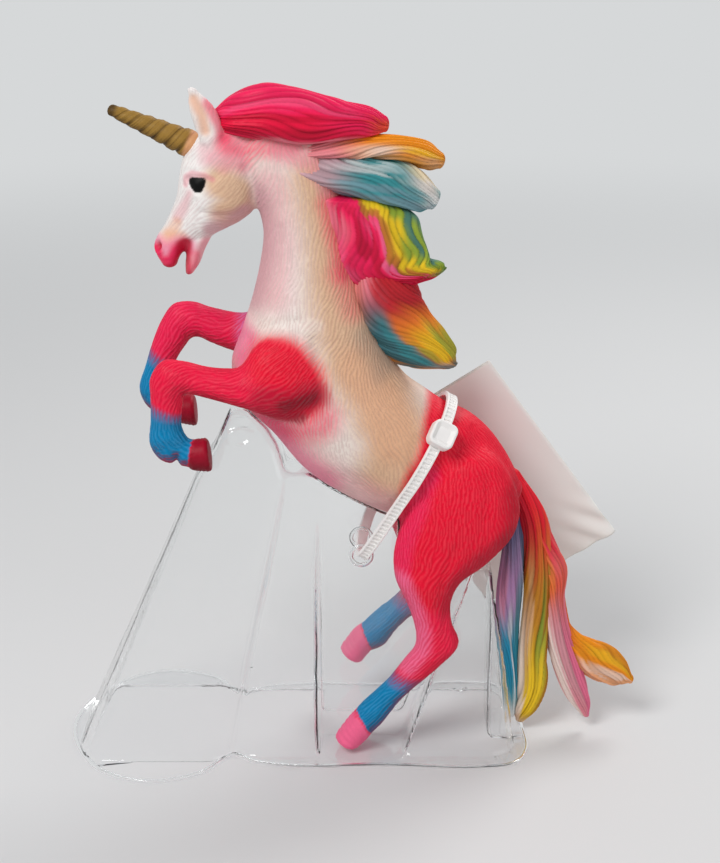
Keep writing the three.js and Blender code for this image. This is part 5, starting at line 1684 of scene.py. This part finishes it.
class UNICORN_OT_stand(bpy.types.Operator):
    """Build the clear stand from a sheet pressed over the pods"""

    bl_idname = "unicorn.stand"
    bl_label = "Clear stand"

    def execute(self, context):
        bm = self.pods()
        rim = open_edges(bm.edges)
        outline = self.flange_outline(bm)
        flange = bmesh.ops.triangle_fill(bm, edges=rim + outline, use_beauty=True, normal=(0, 0, 1))["geom"]
        self.ripple_flange(bm, [item for item in flange if isinstance(item, bmesh.types.BMFace)])
        cut_hole(bm, (0, 2), EYELET_SITE, EYELET_HOLE)
        bmesh.ops.recalc_face_normals(bm, faces=bm.faces)
        highest = max(bm.faces, key=lambda face: face.calc_center_median().z)
        if highest.normal.z < 0:
            bmesh.ops.reverse_faces(bm, faces=bm.faces)
        bmesh.ops.solidify(bm, geom=bm.faces[:], thickness=STAND_SHEET)
        self.add_beads(bm)
        shade_smooth(bm)
        for edge in bm.edges:
            edge.smooth = edge.calc_face_angle(0) < SHEET_EDGE
        stand = place_object(bm, "stand_sheet", "figure", "clear_sheet", clear_material(), ["clear_stand"])
        stand.visible_diffuse = False
        return {"FINISHED"}

    def pods(self):
        """The outer skin of the solid stand, with rounds and the waves of a drawn sheet, open below."""
        bm = bmesh_of(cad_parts["clear_stand"].data)
        bmesh.ops.transform(bm, matrix=DRAWING_TO_FRAME.inverted(), verts=bm.verts)
        bmesh.ops.remove_doubles(bm, verts=bm.verts, dist=SAME_CORNER)
        self.plug_openings(bm)
        walls = fused_mesh(bm, STAND_WALL_GRAIN)
        bm = bmesh_of(walls)
        bpy.data.meshes.remove(walls)
        keep_largest_island(bm)
        surface = Surface(fused_mesh(bm, STAND_GRAIN))
        surface.smooth(STAND_SMOOTHING)
        normals = surface.normals()
        places = surface.points
        lift = sum(depth * lattice_noise(places / size, seed) for depth, size, seed in SHEET_WAVES)
        boss = np.linalg.norm((one_side(places) - PRESSED_BOSS) * BOSS_SHAPE, axis=1)
        lift += BOSS_RING[0] * bell(boss, *BOSS_RING[1:])
        surface.points = places + normals * (lift * fade(places[:, 2], *SHEET_WAVE_FADE))[:, None]
        surface.points[:, 0] = np.minimum(surface.points[:, 0], STAND_BACK)
        surface.normals()
        bm = bmesh_of(surface.mesh)
        bpy.data.meshes.remove(surface.mesh)
        everything = bm.verts[:] + bm.edges[:] + bm.faces[:]
        cut = {"plane_co": (0, 0, STAND_OPEN_BELOW), "plane_no": (0, 0, 1), "clear_inner": True}
        bmesh.ops.bisect_plane(bm, geom=everything, **cut)
        keep_largest_island(bm)
        return bm

    def plug_openings(self, bm):
        """Closes the hollow below and the eyelet, so that the outer skin can be taken alone."""
        plug = bmesh.ops.create_cube(bm, size=1.0)["verts"]
        bmesh.ops.scale(bm, vec=STAND_PLUG_SIZE, verts=plug)
        bmesh.ops.translate(bm, vec=STAND_PLUG_PLACE, verts=plug)
        across = Matrix.Rotation(0.5 * math.pi, 4, "X")
        bmesh.ops.create_cone(
            bm,
            cap_ends=True,
            segments=EYELET_PLUG_SIDES,
            radius1=EYELET_PLUG,
            radius2=EYELET_PLUG,
            depth=2 * EYELET_SITE[1] - EYELET_PLUG_SHORT,
            matrix=Matrix.Translation((EYELET_SITE[0], 0, EYELET_SITE[2])) @ across,
        )

    def flange_loop(self, count):
        near = [(x, -y) for x, y in FLANGE[-2:0:-1]]
        around = np.array([(x, y, FLANGE_TOP) for x, y in FLANGE + near])
        return spline(around, np.linspace(0, len(around), count, endpoint=False), closed=True)

    def flange_outline(self, bm):
        verts = [bm.verts.new(place) for place in self.flange_loop(FLANGE_POINTS).tolist()]
        return [bm.edges.new((a, b)) for a, b in zip(verts, verts[1:] + verts[:1])]

    def ripple_flange(self, bm, faces):
        """Cuts the flange fine and lets it ripple a little, as a thin trimmed sheet does."""
        for axis, low, high in RIPPLE_RUNS:
            normal = Vector((0, 0, 0))
            normal[axis] = 1
            for offset in np.arange(low, high, RIPPLE_STEP):
                live = [face for face in faces if face.is_valid]
                geom = set(live)
                for face in live:
                    geom.update(face.edges)
                    geom.update(face.verts)
                cut = bmesh.ops.bisect_plane(bm, geom=list(geom), plane_co=normal * offset, plane_no=normal)
                faces = [item for item in cut["geom"] if isinstance(item, bmesh.types.BMFace)]
        verts = list({vert for face in faces for vert in face.verts})
        places = np.array([vert.co[:] for vert in verts])
        wave = RIPPLE * lattice_noise(places / RIPPLE_SIZE, RIPPLE_SEED)
        wave *= fade(places[:, 2], FLANGE_TOP, FLANGE_TOP + RIPPLE_FADE)
        for vert, rise in zip(verts, wave.tolist()):
            vert.co.z += rise - FLANGE_SINK

    def add_beads(self, bm):
        """The rolled rim of the flange and the rings round the eyelet."""
        self.add_ring(bm, self.flange_loop(RIM_POINTS), RIM_BEAD, np.array([0, 0, 1.0]))
        turn = angles(EYELET_POINTS)[:, None]
        circle = EYELET_RING * (np.cos(turn) * np.array([1, 0, 0]) + np.sin(turn) * np.array([0, 0, 1]))
        for side in (-1, 1):
            loop = EYELET_SITE * np.array([1, side, 1]) + circle
            self.add_ring(bm, loop, EYELET_BEAD, np.array([0, 1.0, 0]))

    def add_ring(self, bm, loop, bead, up):
        """A round bead along a closed loop, a little uneven."""
        radius, uneven = bead
        run = unit(np.roll(loop, -1, axis=0) - np.roll(loop, 1, axis=0))
        out = np.cross(run, up)[:, None]
        turn = angles(BEAD_SIDES)[None, :, None]
        size = radius * (1 + uneven * np.sin(np.arange(len(loop)) * BEAD_WAVE))[:, None, None]
        rings = loop[:, None] + size * (out * np.cos(turn) + up * np.sin(turn))
        rings[..., 2] = np.maximum(rings[..., 2], LEAST_HEIGHT)
        add_tube(bm, np.concatenate([rings, rings[:1]]))


# Cable tie, in the plane through the stand's eyelet and the back: y across, s up the plane

EYELET = EYELET_SITE * np.array([1, 0, 1])
WAIST_TOP = np.array([19.6, 0, 80.9])
TIE_UP = unit(WAIST_TOP - EYELET)
TIE_ACROSS = np.array([-TIE_UP[2], 0, TIE_UP[0]])
STRAP_WIDTH = 2.5
STRAP_THICKNESS = 1.1
GAP = 0.35
STRAP_GAP = 1.6 * GAP
STRAP_LIFT = STRAP_GAP + 0.5 * STRAP_THICKNESS
WAIST_EASE = 0.2
WAIST_LOW = 11
WAIST_HIGH = float(np.linalg.norm(WAIST_TOP - EYELET))
WAIST_MIDDLE = (WAIST_LOW + WAIST_HIGH) / 2
WAIST_HALF_HEIGHT = (WAIST_HIGH - WAIST_LOW) / 2 + STRAP_LIFT + WAIST_EASE
WAIST_HALF_WIDTH = 0.9 * BARREL + STRAP_LIFT + WAIST_EASE
WEB = EYELET_SITE[1]
TAG_LENGTH = 56
TAG_WIDTH = 36
TAG_FROM_FOLD = 23.5
TAG_INSET = 5.2
TAG_HOLE_RADIUS = 3.7
TAG_SLOPE = math.radians(35)
TAG_APART = 0.9
TAG_THICKNESS = 1.3
TAG_HOLE_S = WAIST_MIDDLE + 1
TAG_CLEAR = 2.6
TAG_HOLE_Y = WAIST_HALF_WIDTH + TAG_CLEAR
TAG_HOLE = EYELET + TIE_UP * TAG_HOLE_S + np.array([0, TAG_HOLE_Y, 0])
TAG_TOUCHES = 56
TAG_LEAN = math.atan2(1.05 * HIP + THIGH + TAG_CLEAR - TAG_HOLE_Y, TAG_HOLE[2] - TAG_TOUCHES)
TIE_HEAD_ANGLE = 38
TIE_HEAD_STEP = 4
TIE_HEAD = (5.6, 5.8, 3.3)
TIE_HEAD_CORNER = 1.5
TIE_HEAD_CORNER_STEPS = 5
TIE_HEAD_ROUND = 0.5
TIE_HEAD_ROUND_STEPS = 3
TIE_HEAD_FRAME = 0.9
TIE_HEAD_DISH = 0.7
STRAP_FINE = 4000
STRAP_OFF_WEB = 1.6
STRAP_RISE = 0.9
STRAP_PAST_EDGE = 0.3
HOLE_REACH = 1.1
RIGHT_WAIST = (42, 66)
LEFT_WAIST = (66, 42, 18, -6, -24)
RIB_STEPS = 8
RIB_FROM, RIB_TO = 0.3, 0.8
RAIL = 0.42
RAIL_BEVEL = 0.15
RAIL_SLOPE = 0.08
RAIL_SHOULDER = 0.7
RIB_DEPTH = 0.42
RIB_SUNK = 0.06
NYLON_INPUTS = {
    "Roughness": 0.34,
    "Subsurface Weight": 0.35,
    "Subsurface Radius": (0.0012, 0.0012, 0.0012),
}


def waist_point(degrees):
    angle = math.radians(degrees)
    return WAIST_HALF_WIDTH * math.cos(angle), WAIST_MIDDLE + WAIST_HALF_HEIGHT * math.sin(angle)


def in_tie_plane(y, s):
    y, s = np.asarray(y, float), np.asarray(s, float)
    return EYELET + s[..., None] * TIE_UP + y[..., None] * np.array([0, 1, 0])


def strap_path(count):
    """Evenly spaced points y, s round the closed strap."""
    low = WEB + STRAP_OFF_WEB
    apart = 0.5 * TAG_THICKNESS + 0.5 * STRAP_THICKNESS + STRAP_GAP
    fall = math.tan(TAG_LEAN) * TIE_UP[2]
    edge = (TAG_WIDTH - TAG_FROM_FOLD) / (TIE_UP[0] * math.cos(TAG_SLOPE) + TIE_UP[2] * math.sin(TAG_SLOPE))
    thread = HOLE_REACH * TAG_HOLE_RADIUS

    def beside_tag(up, out):
        return TAG_HOLE_Y - fall * up + out, TAG_HOLE_S + up

    right = [(0.5 * low, 0), (low, STRAP_RISE), beside_tag(-edge - STRAP_PAST_EDGE, apart)]
    right += [beside_tag(-thread, apart), beside_tag(0, 0), beside_tag(thread, -apart)]
    right += [waist_point(degrees) for degrees in RIGHT_WAIST]
    left = [waist_point(degrees) for degrees in LEFT_WAIST] + [(low, STRAP_RISE), (0.5 * low, 0)]
    around = right + [waist_point(90)] + [(-y, s) for y, s in left]
    fine = spline(np.array(around), np.linspace(0, len(around), STRAP_FINE, endpoint=False), closed=True)
    steps = np.linalg.norm(np.roll(fine, -1, axis=0) - fine, axis=1)
    reached = np.concatenate([[0], np.cumsum(steps)])
    wanted = np.linspace(0, reached[-1], count, endpoint=False)
    looped = np.vstack([fine, fine[:1]])
    return np.stack([np.interp(wanted, reached, looped[:, k]) for k in (0, 1)], 1), reached[-1]


class UNICORN_OT_tie(bpy.types.Operator):
    """Build the ribbed cable tie and its square head"""

    bl_idname = "unicorn.tie"
    bl_label = "Cable tie"

    def execute(self, context):
        _, length = strap_path(1)
        ribs = round(length / size_mm("rib_pitch"))
        count = ribs * RIB_STEPS
        path, _ = strap_path(count)
        ahead = unit(np.roll(path, -1, axis=0) - np.roll(path, 1, axis=0))
        outward = np.stack([ahead[:, 1], -ahead[:, 0]], 1)
        across, level = self.section(count)
        y = path[:, :1] + outward[:, :1] * level
        s = path[:, 1:] + outward[:, 1:] * level
        points = in_tie_plane(y, s) + across[None, :, None] * TIE_ACROSS
        bm = bmesh.new()
        add_tube(bm, np.concatenate([points, points[:1]]))
        self.add_head(bm)
        bmesh.ops.recalc_face_normals(bm, faces=bm.faces)
        nylon = {"Base Color": tuple(tone("nylon")) + (1,), **NYLON_INPUTS}
        material, tree, shader = material_with("nylon", nylon)
        add_grain(tree, shader, NYLON_GRAIN)
        place_object(bm, "tie_strap", "figure", "nylon", material, ["cable_tie"])
        return {"FINISHED"}

    def section(self, count):
        """Places across the strap, and their levels at each step, with two rails and ribs between them."""
        half, top = 0.5 * STRAP_WIDTH, 0.5 * STRAP_THICKNESS
        rail = half - RAIL
        sunk = top - RIB_DEPTH
        bevel = half - RAIL_BEVEL
        edge = [half, half, bevel, rail, rail - RAIL_SLOPE]
        across = [-place for place in edge] + edge[::-1] + [bevel, -bevel]
        low = RAIL_SHOULDER * top
        height = [-low, low, top, top, 0, 0, top, top, low, -low, -top, -top]
        level = np.repeat(np.array(height)[None, :], count, axis=0)
        phase = (np.arange(count) % RIB_STEPS) / RIB_STEPS
        rung = np.where((phase > RIB_FROM) & (phase < RIB_TO), 1.0, 0.0)
        level[:, 4:6] = (sunk + (top - RIB_SUNK - sunk) * rung)[:, None]
        return np.array(across), level

    def add_head(self, bm):
        """The square head with rounded sides and a dished face, on the strap beside the waist."""
        def height(face):
            return face.calc_center_median().z

        def lids(faces):
            return sorted((face for face in faces if len(face.verts) > 8), key=height)

        y, s = waist_point(TIE_HEAD_ANGLE)
        above = waist_point(TIE_HEAD_ANGLE + TIE_HEAD_STEP)
        here = in_tie_plane(-y, s)
        along = unit(in_tie_plane(-above[0], above[1]) - here)
        outward = unit(np.cross(along, TIE_ACROSS))
        if outward[1] > 0:
            outward = -outward
        cube = bmesh.ops.create_cube(bm, size=1.0)["verts"]
        bmesh.ops.scale(bm, vec=TIE_HEAD, verts=cube)
        edges = {edge for vert in cube for edge in vert.link_edges}
        upright = [edge for edge in edges if abs(edge.verts[0].co.z - edge.verts[1].co.z) > 1]
        rounds = {"offset_type": "OFFSET", "affect": "EDGES", "profile": 0.5, "material": -1}
        corners = {"offset": TIE_HEAD_CORNER, "segments": TIE_HEAD_CORNER_STEPS}
        sides = bmesh.ops.bevel(bm, geom=upright, **corners, **rounds)["faces"]
        around = {face for side in sides for edge in side.edges for face in edge.link_faces}
        rims = [edge for lid in lids(around) for edge in lid.edges]
        bmesh.ops.bevel(bm, geom=rims, offset=TIE_HEAD_ROUND, segments=TIE_HEAD_ROUND_STEPS, **rounds)
        top = lids(bm.faces)[-1]
        bmesh.ops.inset_individual(bm, faces=[top], thickness=TIE_HEAD_FRAME, depth=0)
        bmesh.ops.translate(bm, vec=(0, 0, -TIE_HEAD_DISH), verts=top.verts)
        place = Matrix([list(TIE_ACROSS), list(along), list(outward)]).transposed().to_4x4()
        middle = here + outward * 0.5 * (TIE_HEAD[2] - STRAP_THICKNESS)
        head = list(island_of(top.verts[0]))
        bmesh.ops.transform(bm, matrix=Matrix.Translation(middle) @ place, verts=head)


# Tag: steps across a leaf, rows down it, and the height of its waves with their pace across and down

TAG_STEPS = 72
TAG_ROWS = 100
FOLD_STEPS = 9
TAG_WAVE = (0.12, 0.09, 0.13)
TAG_CREASE = (0.5, 0.9, 0.6)
TAG_CREASE_SITE = (3, 4)
TAG_CREASE_SPREAD = 60
PAPER_ROUGHNESS = 0.55


class UNICORN_OT_tag(bpy.types.Operator):
    """Build the folded paper tag"""

    bl_idname = "unicorn.tag"
    bl_label = "Paper tag"

    def execute(self, context):
        bm = bmesh.new()
        high = TAG_FROM_FOLD
        bend = 0.5 * TAG_APART
        flat = high - 2 * bend
        run = np.linspace(TAG_FROM_FOLD - TAG_WIDTH, flat, TAG_STEPS)
        turn = np.linspace(-0.5 * np.pi, 0.5 * np.pi, FOLD_STEPS)[1:-1]
        across = np.concatenate([run, flat + 2 * bend * np.cos(turn), run[::-1]])
        level = np.concatenate([np.full(TAG_STEPS, -bend), bend * np.sin(turn), np.full(TAG_STEPS, bend)])
        cells = {"x_segments": len(across) - 1, "y_segments": TAG_ROWS - 1}
        grid = bmesh.ops.create_grid(bm, size=1.0, **cells)["verts"]
        down = np.linspace(TAG_INSET - TAG_LENGTH, TAG_INSET, TAG_ROWS)
        u = np.repeat(across[None, :], TAG_ROWS, 0)
        v = np.repeat(down[:, None], len(across), 1)
        w = np.repeat(level[None, :], TAG_ROWS, 0)
        from_fold = u - high + TAG_CREASE_SITE[0]
        from_foot = v - TAG_INSET + TAG_LENGTH - TAG_CREASE_SITE[1]
        corner = np.exp(-(from_fold ** 2 + from_foot ** 2) / TAG_CREASE_SPREAD)
        w = w + TAG_WAVE[0] * np.sin(TAG_WAVE[2] * v + TAG_WAVE[1] * u)
        w = w + TAG_CREASE[0] * corner * np.sin(TAG_CREASE[1] * u + TAG_CREASE[2] * v)
        places = np.stack([u, v, w], 2).reshape(-1, 3)
        for vert, place in zip(grid, places.tolist()):
            vert.co = place
        cut_hole(bm, (0, 1), (0, 0), TAG_HOLE_RADIUS)
        bmesh.ops.recalc_face_normals(bm, faces=bm.faces)
        bmesh.ops.solidify(bm, geom=bm.faces[:], thickness=size_mm("leaf"))
        shade_smooth(bm)
        sideways = Vector((1, 0, 0))
        up = Vector((0, -math.sin(TAG_LEAN), math.cos(TAG_LEAN)))
        basis = Matrix([sideways, up, sideways.cross(up)]).transposed().to_4x4()
        place = Matrix.Translation(TAG_HOLE) @ basis @ Matrix.Rotation(TAG_SLOPE, 4, "Z")
        bmesh.ops.transform(bm, matrix=place, verts=bm.verts)
        paper = {"Roughness": PAPER_ROUGHNESS, "Base Color": tuple(tone("paper")) + (1,)}
        material, tree, shader = material_with("paper", paper)
        add_grain(tree, shader, PAPER_GRAIN)
        place_object(bm, "tag_leaflet", "tag", "paper", material, ["hang_tag"])
        return {"FINISHED"}


# Stage, in metres: lights are a name, a place, a size and a power

CAMERA_PLACE = (0.001849, -0.3298, 0.19425)
CAMERA_TILT = 70
CAMERA_LENS = 65.95
CAMERA_SENSOR = 36
BACKGROUND = "d6d8d9"
WORLD_LIGHT = 0.38
WORLD_TINT = (0.93, 0.95, 1, 1)
LIGHTS = [
    ("key", (-0.32, -0.42, 0.62), 0.34, 3.4),
    ("back", (0.3, 0.35, 0.5), 0.3, 1.6),
    ("fill", (0.45, -0.4, 0.25), 0.4, 0.5),
]
LIGHTS_LOOK_AT = Vector((0, 0, 0.07))
FLOOR_SIZE = 3.0
FLOOR_COLOUR = "d9d9d8"
FLOOR_ROUGHNESS = 0.7
FLOOR_RUNS_OUT = {"From Min": 0.16, "From Max": 0.8}


class UNICORN_OT_stage(bpy.types.Operator):
    """Set the floor, the lights and the camera"""

    bl_idname = "unicorn.stage"
    bl_label = "Stage"

    def execute(self, context):
        scene = context.scene
        scene.view_settings.view_transform = "Standard"
        bm = bmesh.new()
        bmesh.ops.create_grid(bm, x_segments=1, y_segments=1, size=FLOOR_SIZE)
        floor = mesh_object("floor", bm)
        floor.data.materials.append(self.floor_material())
        scene.world = self.studio_world()
        for name, place, size, power in LIGHTS:
            self.add_light(name, place, size, power)
        data = bpy.data.cameras.new("camera")
        data.sensor_width = CAMERA_SENSOR
        data.lens = CAMERA_LENS
        camera = add_object("camera", data)
        camera.location = CAMERA_PLACE
        camera.rotation_euler = (math.radians(CAMERA_TILT), 0, 0)
        scene.camera = camera
        return {"FINISHED"}

    def seen_rays(self, tree):
        """1 for the rays that show the background straight, mirrored or through clear sheet."""
        path = node(tree, "ShaderNodeLightPath")
        seen = path.outputs["Is Camera Ray"]
        for kind in ("Is Glossy Ray", "Is Transmission Ray"):
            either = node(tree, "ShaderNodeMath", operation="MAXIMUM")
            link(tree, (seen, either.inputs[0]), (path.outputs[kind], either.inputs[1]))
            seen = either.outputs[0]
        straight = node(tree, "ShaderNodeMath", operation="LESS_THAN")
        straight.inputs[1].default_value = 0.5
        shown = node(tree, "ShaderNodeMath", operation="MULTIPLY")
        link(
            tree,
            (path.outputs["Diffuse Depth"], straight.inputs[0]),
            (seen, shown.inputs[0]),
            (straight.outputs[0], shown.inputs[1]),
        )
        return shown.outputs[0]

    def floor_material(self):
        """Pale floor that takes the shadow near the object and runs out into an even tone further off."""
        colours = {"Roughness": FLOOR_ROUGHNESS, "Base Color": linear(FLOOR_COLOUR) + (1,)}
        material, tree, shader = material_with("floor", colours)
        add_grain(tree, shader, FLOOR_GRAIN)
        place = node(tree, "ShaderNodeTexCoord")
        away = node(tree, "ShaderNodeVectorMath", operation="LENGTH")
        spread = node(tree, "ShaderNodeMapRange", interpolation_type="SMOOTHSTEP", **FLOOR_RUNS_OUT)
        shown = node(tree, "ShaderNodeMath", operation="MULTIPLY")
        plain = node(tree, "ShaderNodeEmission", Strength=1.0, Color=linear(BACKGROUND) + (1,))
        link(
            tree,
            (place.outputs["Object"], away.inputs[0]),
            (away.outputs["Value"], spread.inputs["Value"]),
            (spread.outputs["Result"], shown.inputs[0]),
            (self.seen_rays(tree), shown.inputs[1]),
        )
        show_mix(tree, shown.outputs[0], shader.outputs["BSDF"], plain.outputs["Emission"])
        return material

    def studio_world(self):
        """Soft light from all round, with a pale tone where the background shows."""
        world = bpy.data.worlds.new("studio")
        world.use_nodes = True
        tree = world.node_tree
        light = tree.nodes["Background"]
        light.inputs["Color"].default_value = WORLD_TINT
        light.inputs["Strength"].default_value = WORLD_LIGHT
        plain = node(tree, "ShaderNodeBackground", Strength=1.0, Color=linear(BACKGROUND) + (1,))
        lit, pale = light.outputs["Background"], plain.outputs["Background"]
        show_mix(tree, self.seen_rays(tree), lit, pale, "World Output")
        return world

    def add_light(self, name, place, size, power):
        data = bpy.data.lights.new(name, "AREA")
        data.shape = "DISK"
        data.size = size
        data.energy = power
        light = add_object(name, data)
        light.location = place
        light.rotation_euler = (LIGHTS_LOOK_AT - Vector(place)).to_track_quat("-Z", "Y").to_euler()
        light.visible_transmission = False


class UNICORN_PT_panel(bpy.types.Panel):
    """Lists the pieces and their settings"""

    bl_idname = "UNICORN_PT_panel"
    bl_label = "Unicorn figurine"
    bl_space_type = "VIEW_3D"
    bl_region_type = "UI"
    bl_category = "Unicorn"

    def draw(self, context):
        for operator in OPERATORS:
            self.layout.operator(operator.bl_idname)
        for group in (context.scene.unicorn_sizes, context.scene.unicorn_paints):
            for key in group.bl_rna.properties.keys():
                if key not in ("rna_type", "name"):
                    self.layout.prop(group, key)


OPERATORS = [
    UNICORN_OT_animal,
    UNICORN_OT_horn,
    UNICORN_OT_hair,
    UNICORN_OT_stand,
    UNICORN_OT_tie,
    UNICORN_OT_tag,
    UNICORN_OT_stage,
]
CLASSES = [UnicornPaints, UnicornSizes] + OPERATORS + [UNICORN_PT_panel]


def register():
    for item in CLASSES:
        bpy.utils.register_class(item)
    bpy.types.Scene.unicorn_paints = bpy.props.PointerProperty(type=UnicornPaints)
    bpy.types.Scene.unicorn_sizes = bpy.props.PointerProperty(type=UnicornSizes)


def unregister():
    del bpy.types.Scene.unicorn_sizes
    del bpy.types.Scene.unicorn_paints
    for item in reversed(CLASSES):
        bpy.utils.unregister_class(item)


def main():
    register()
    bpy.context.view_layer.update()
    bpy.ops.unicorn.animal()
    bpy.ops.unicorn.horn()
    bpy.ops.unicorn.hair()
    bpy.ops.unicorn.stand()
    bpy.ops.unicorn.tie()
    bpy.ops.unicorn.tag()
    bpy.ops.unicorn.stage()


if __name__ == "__main__":
    main()
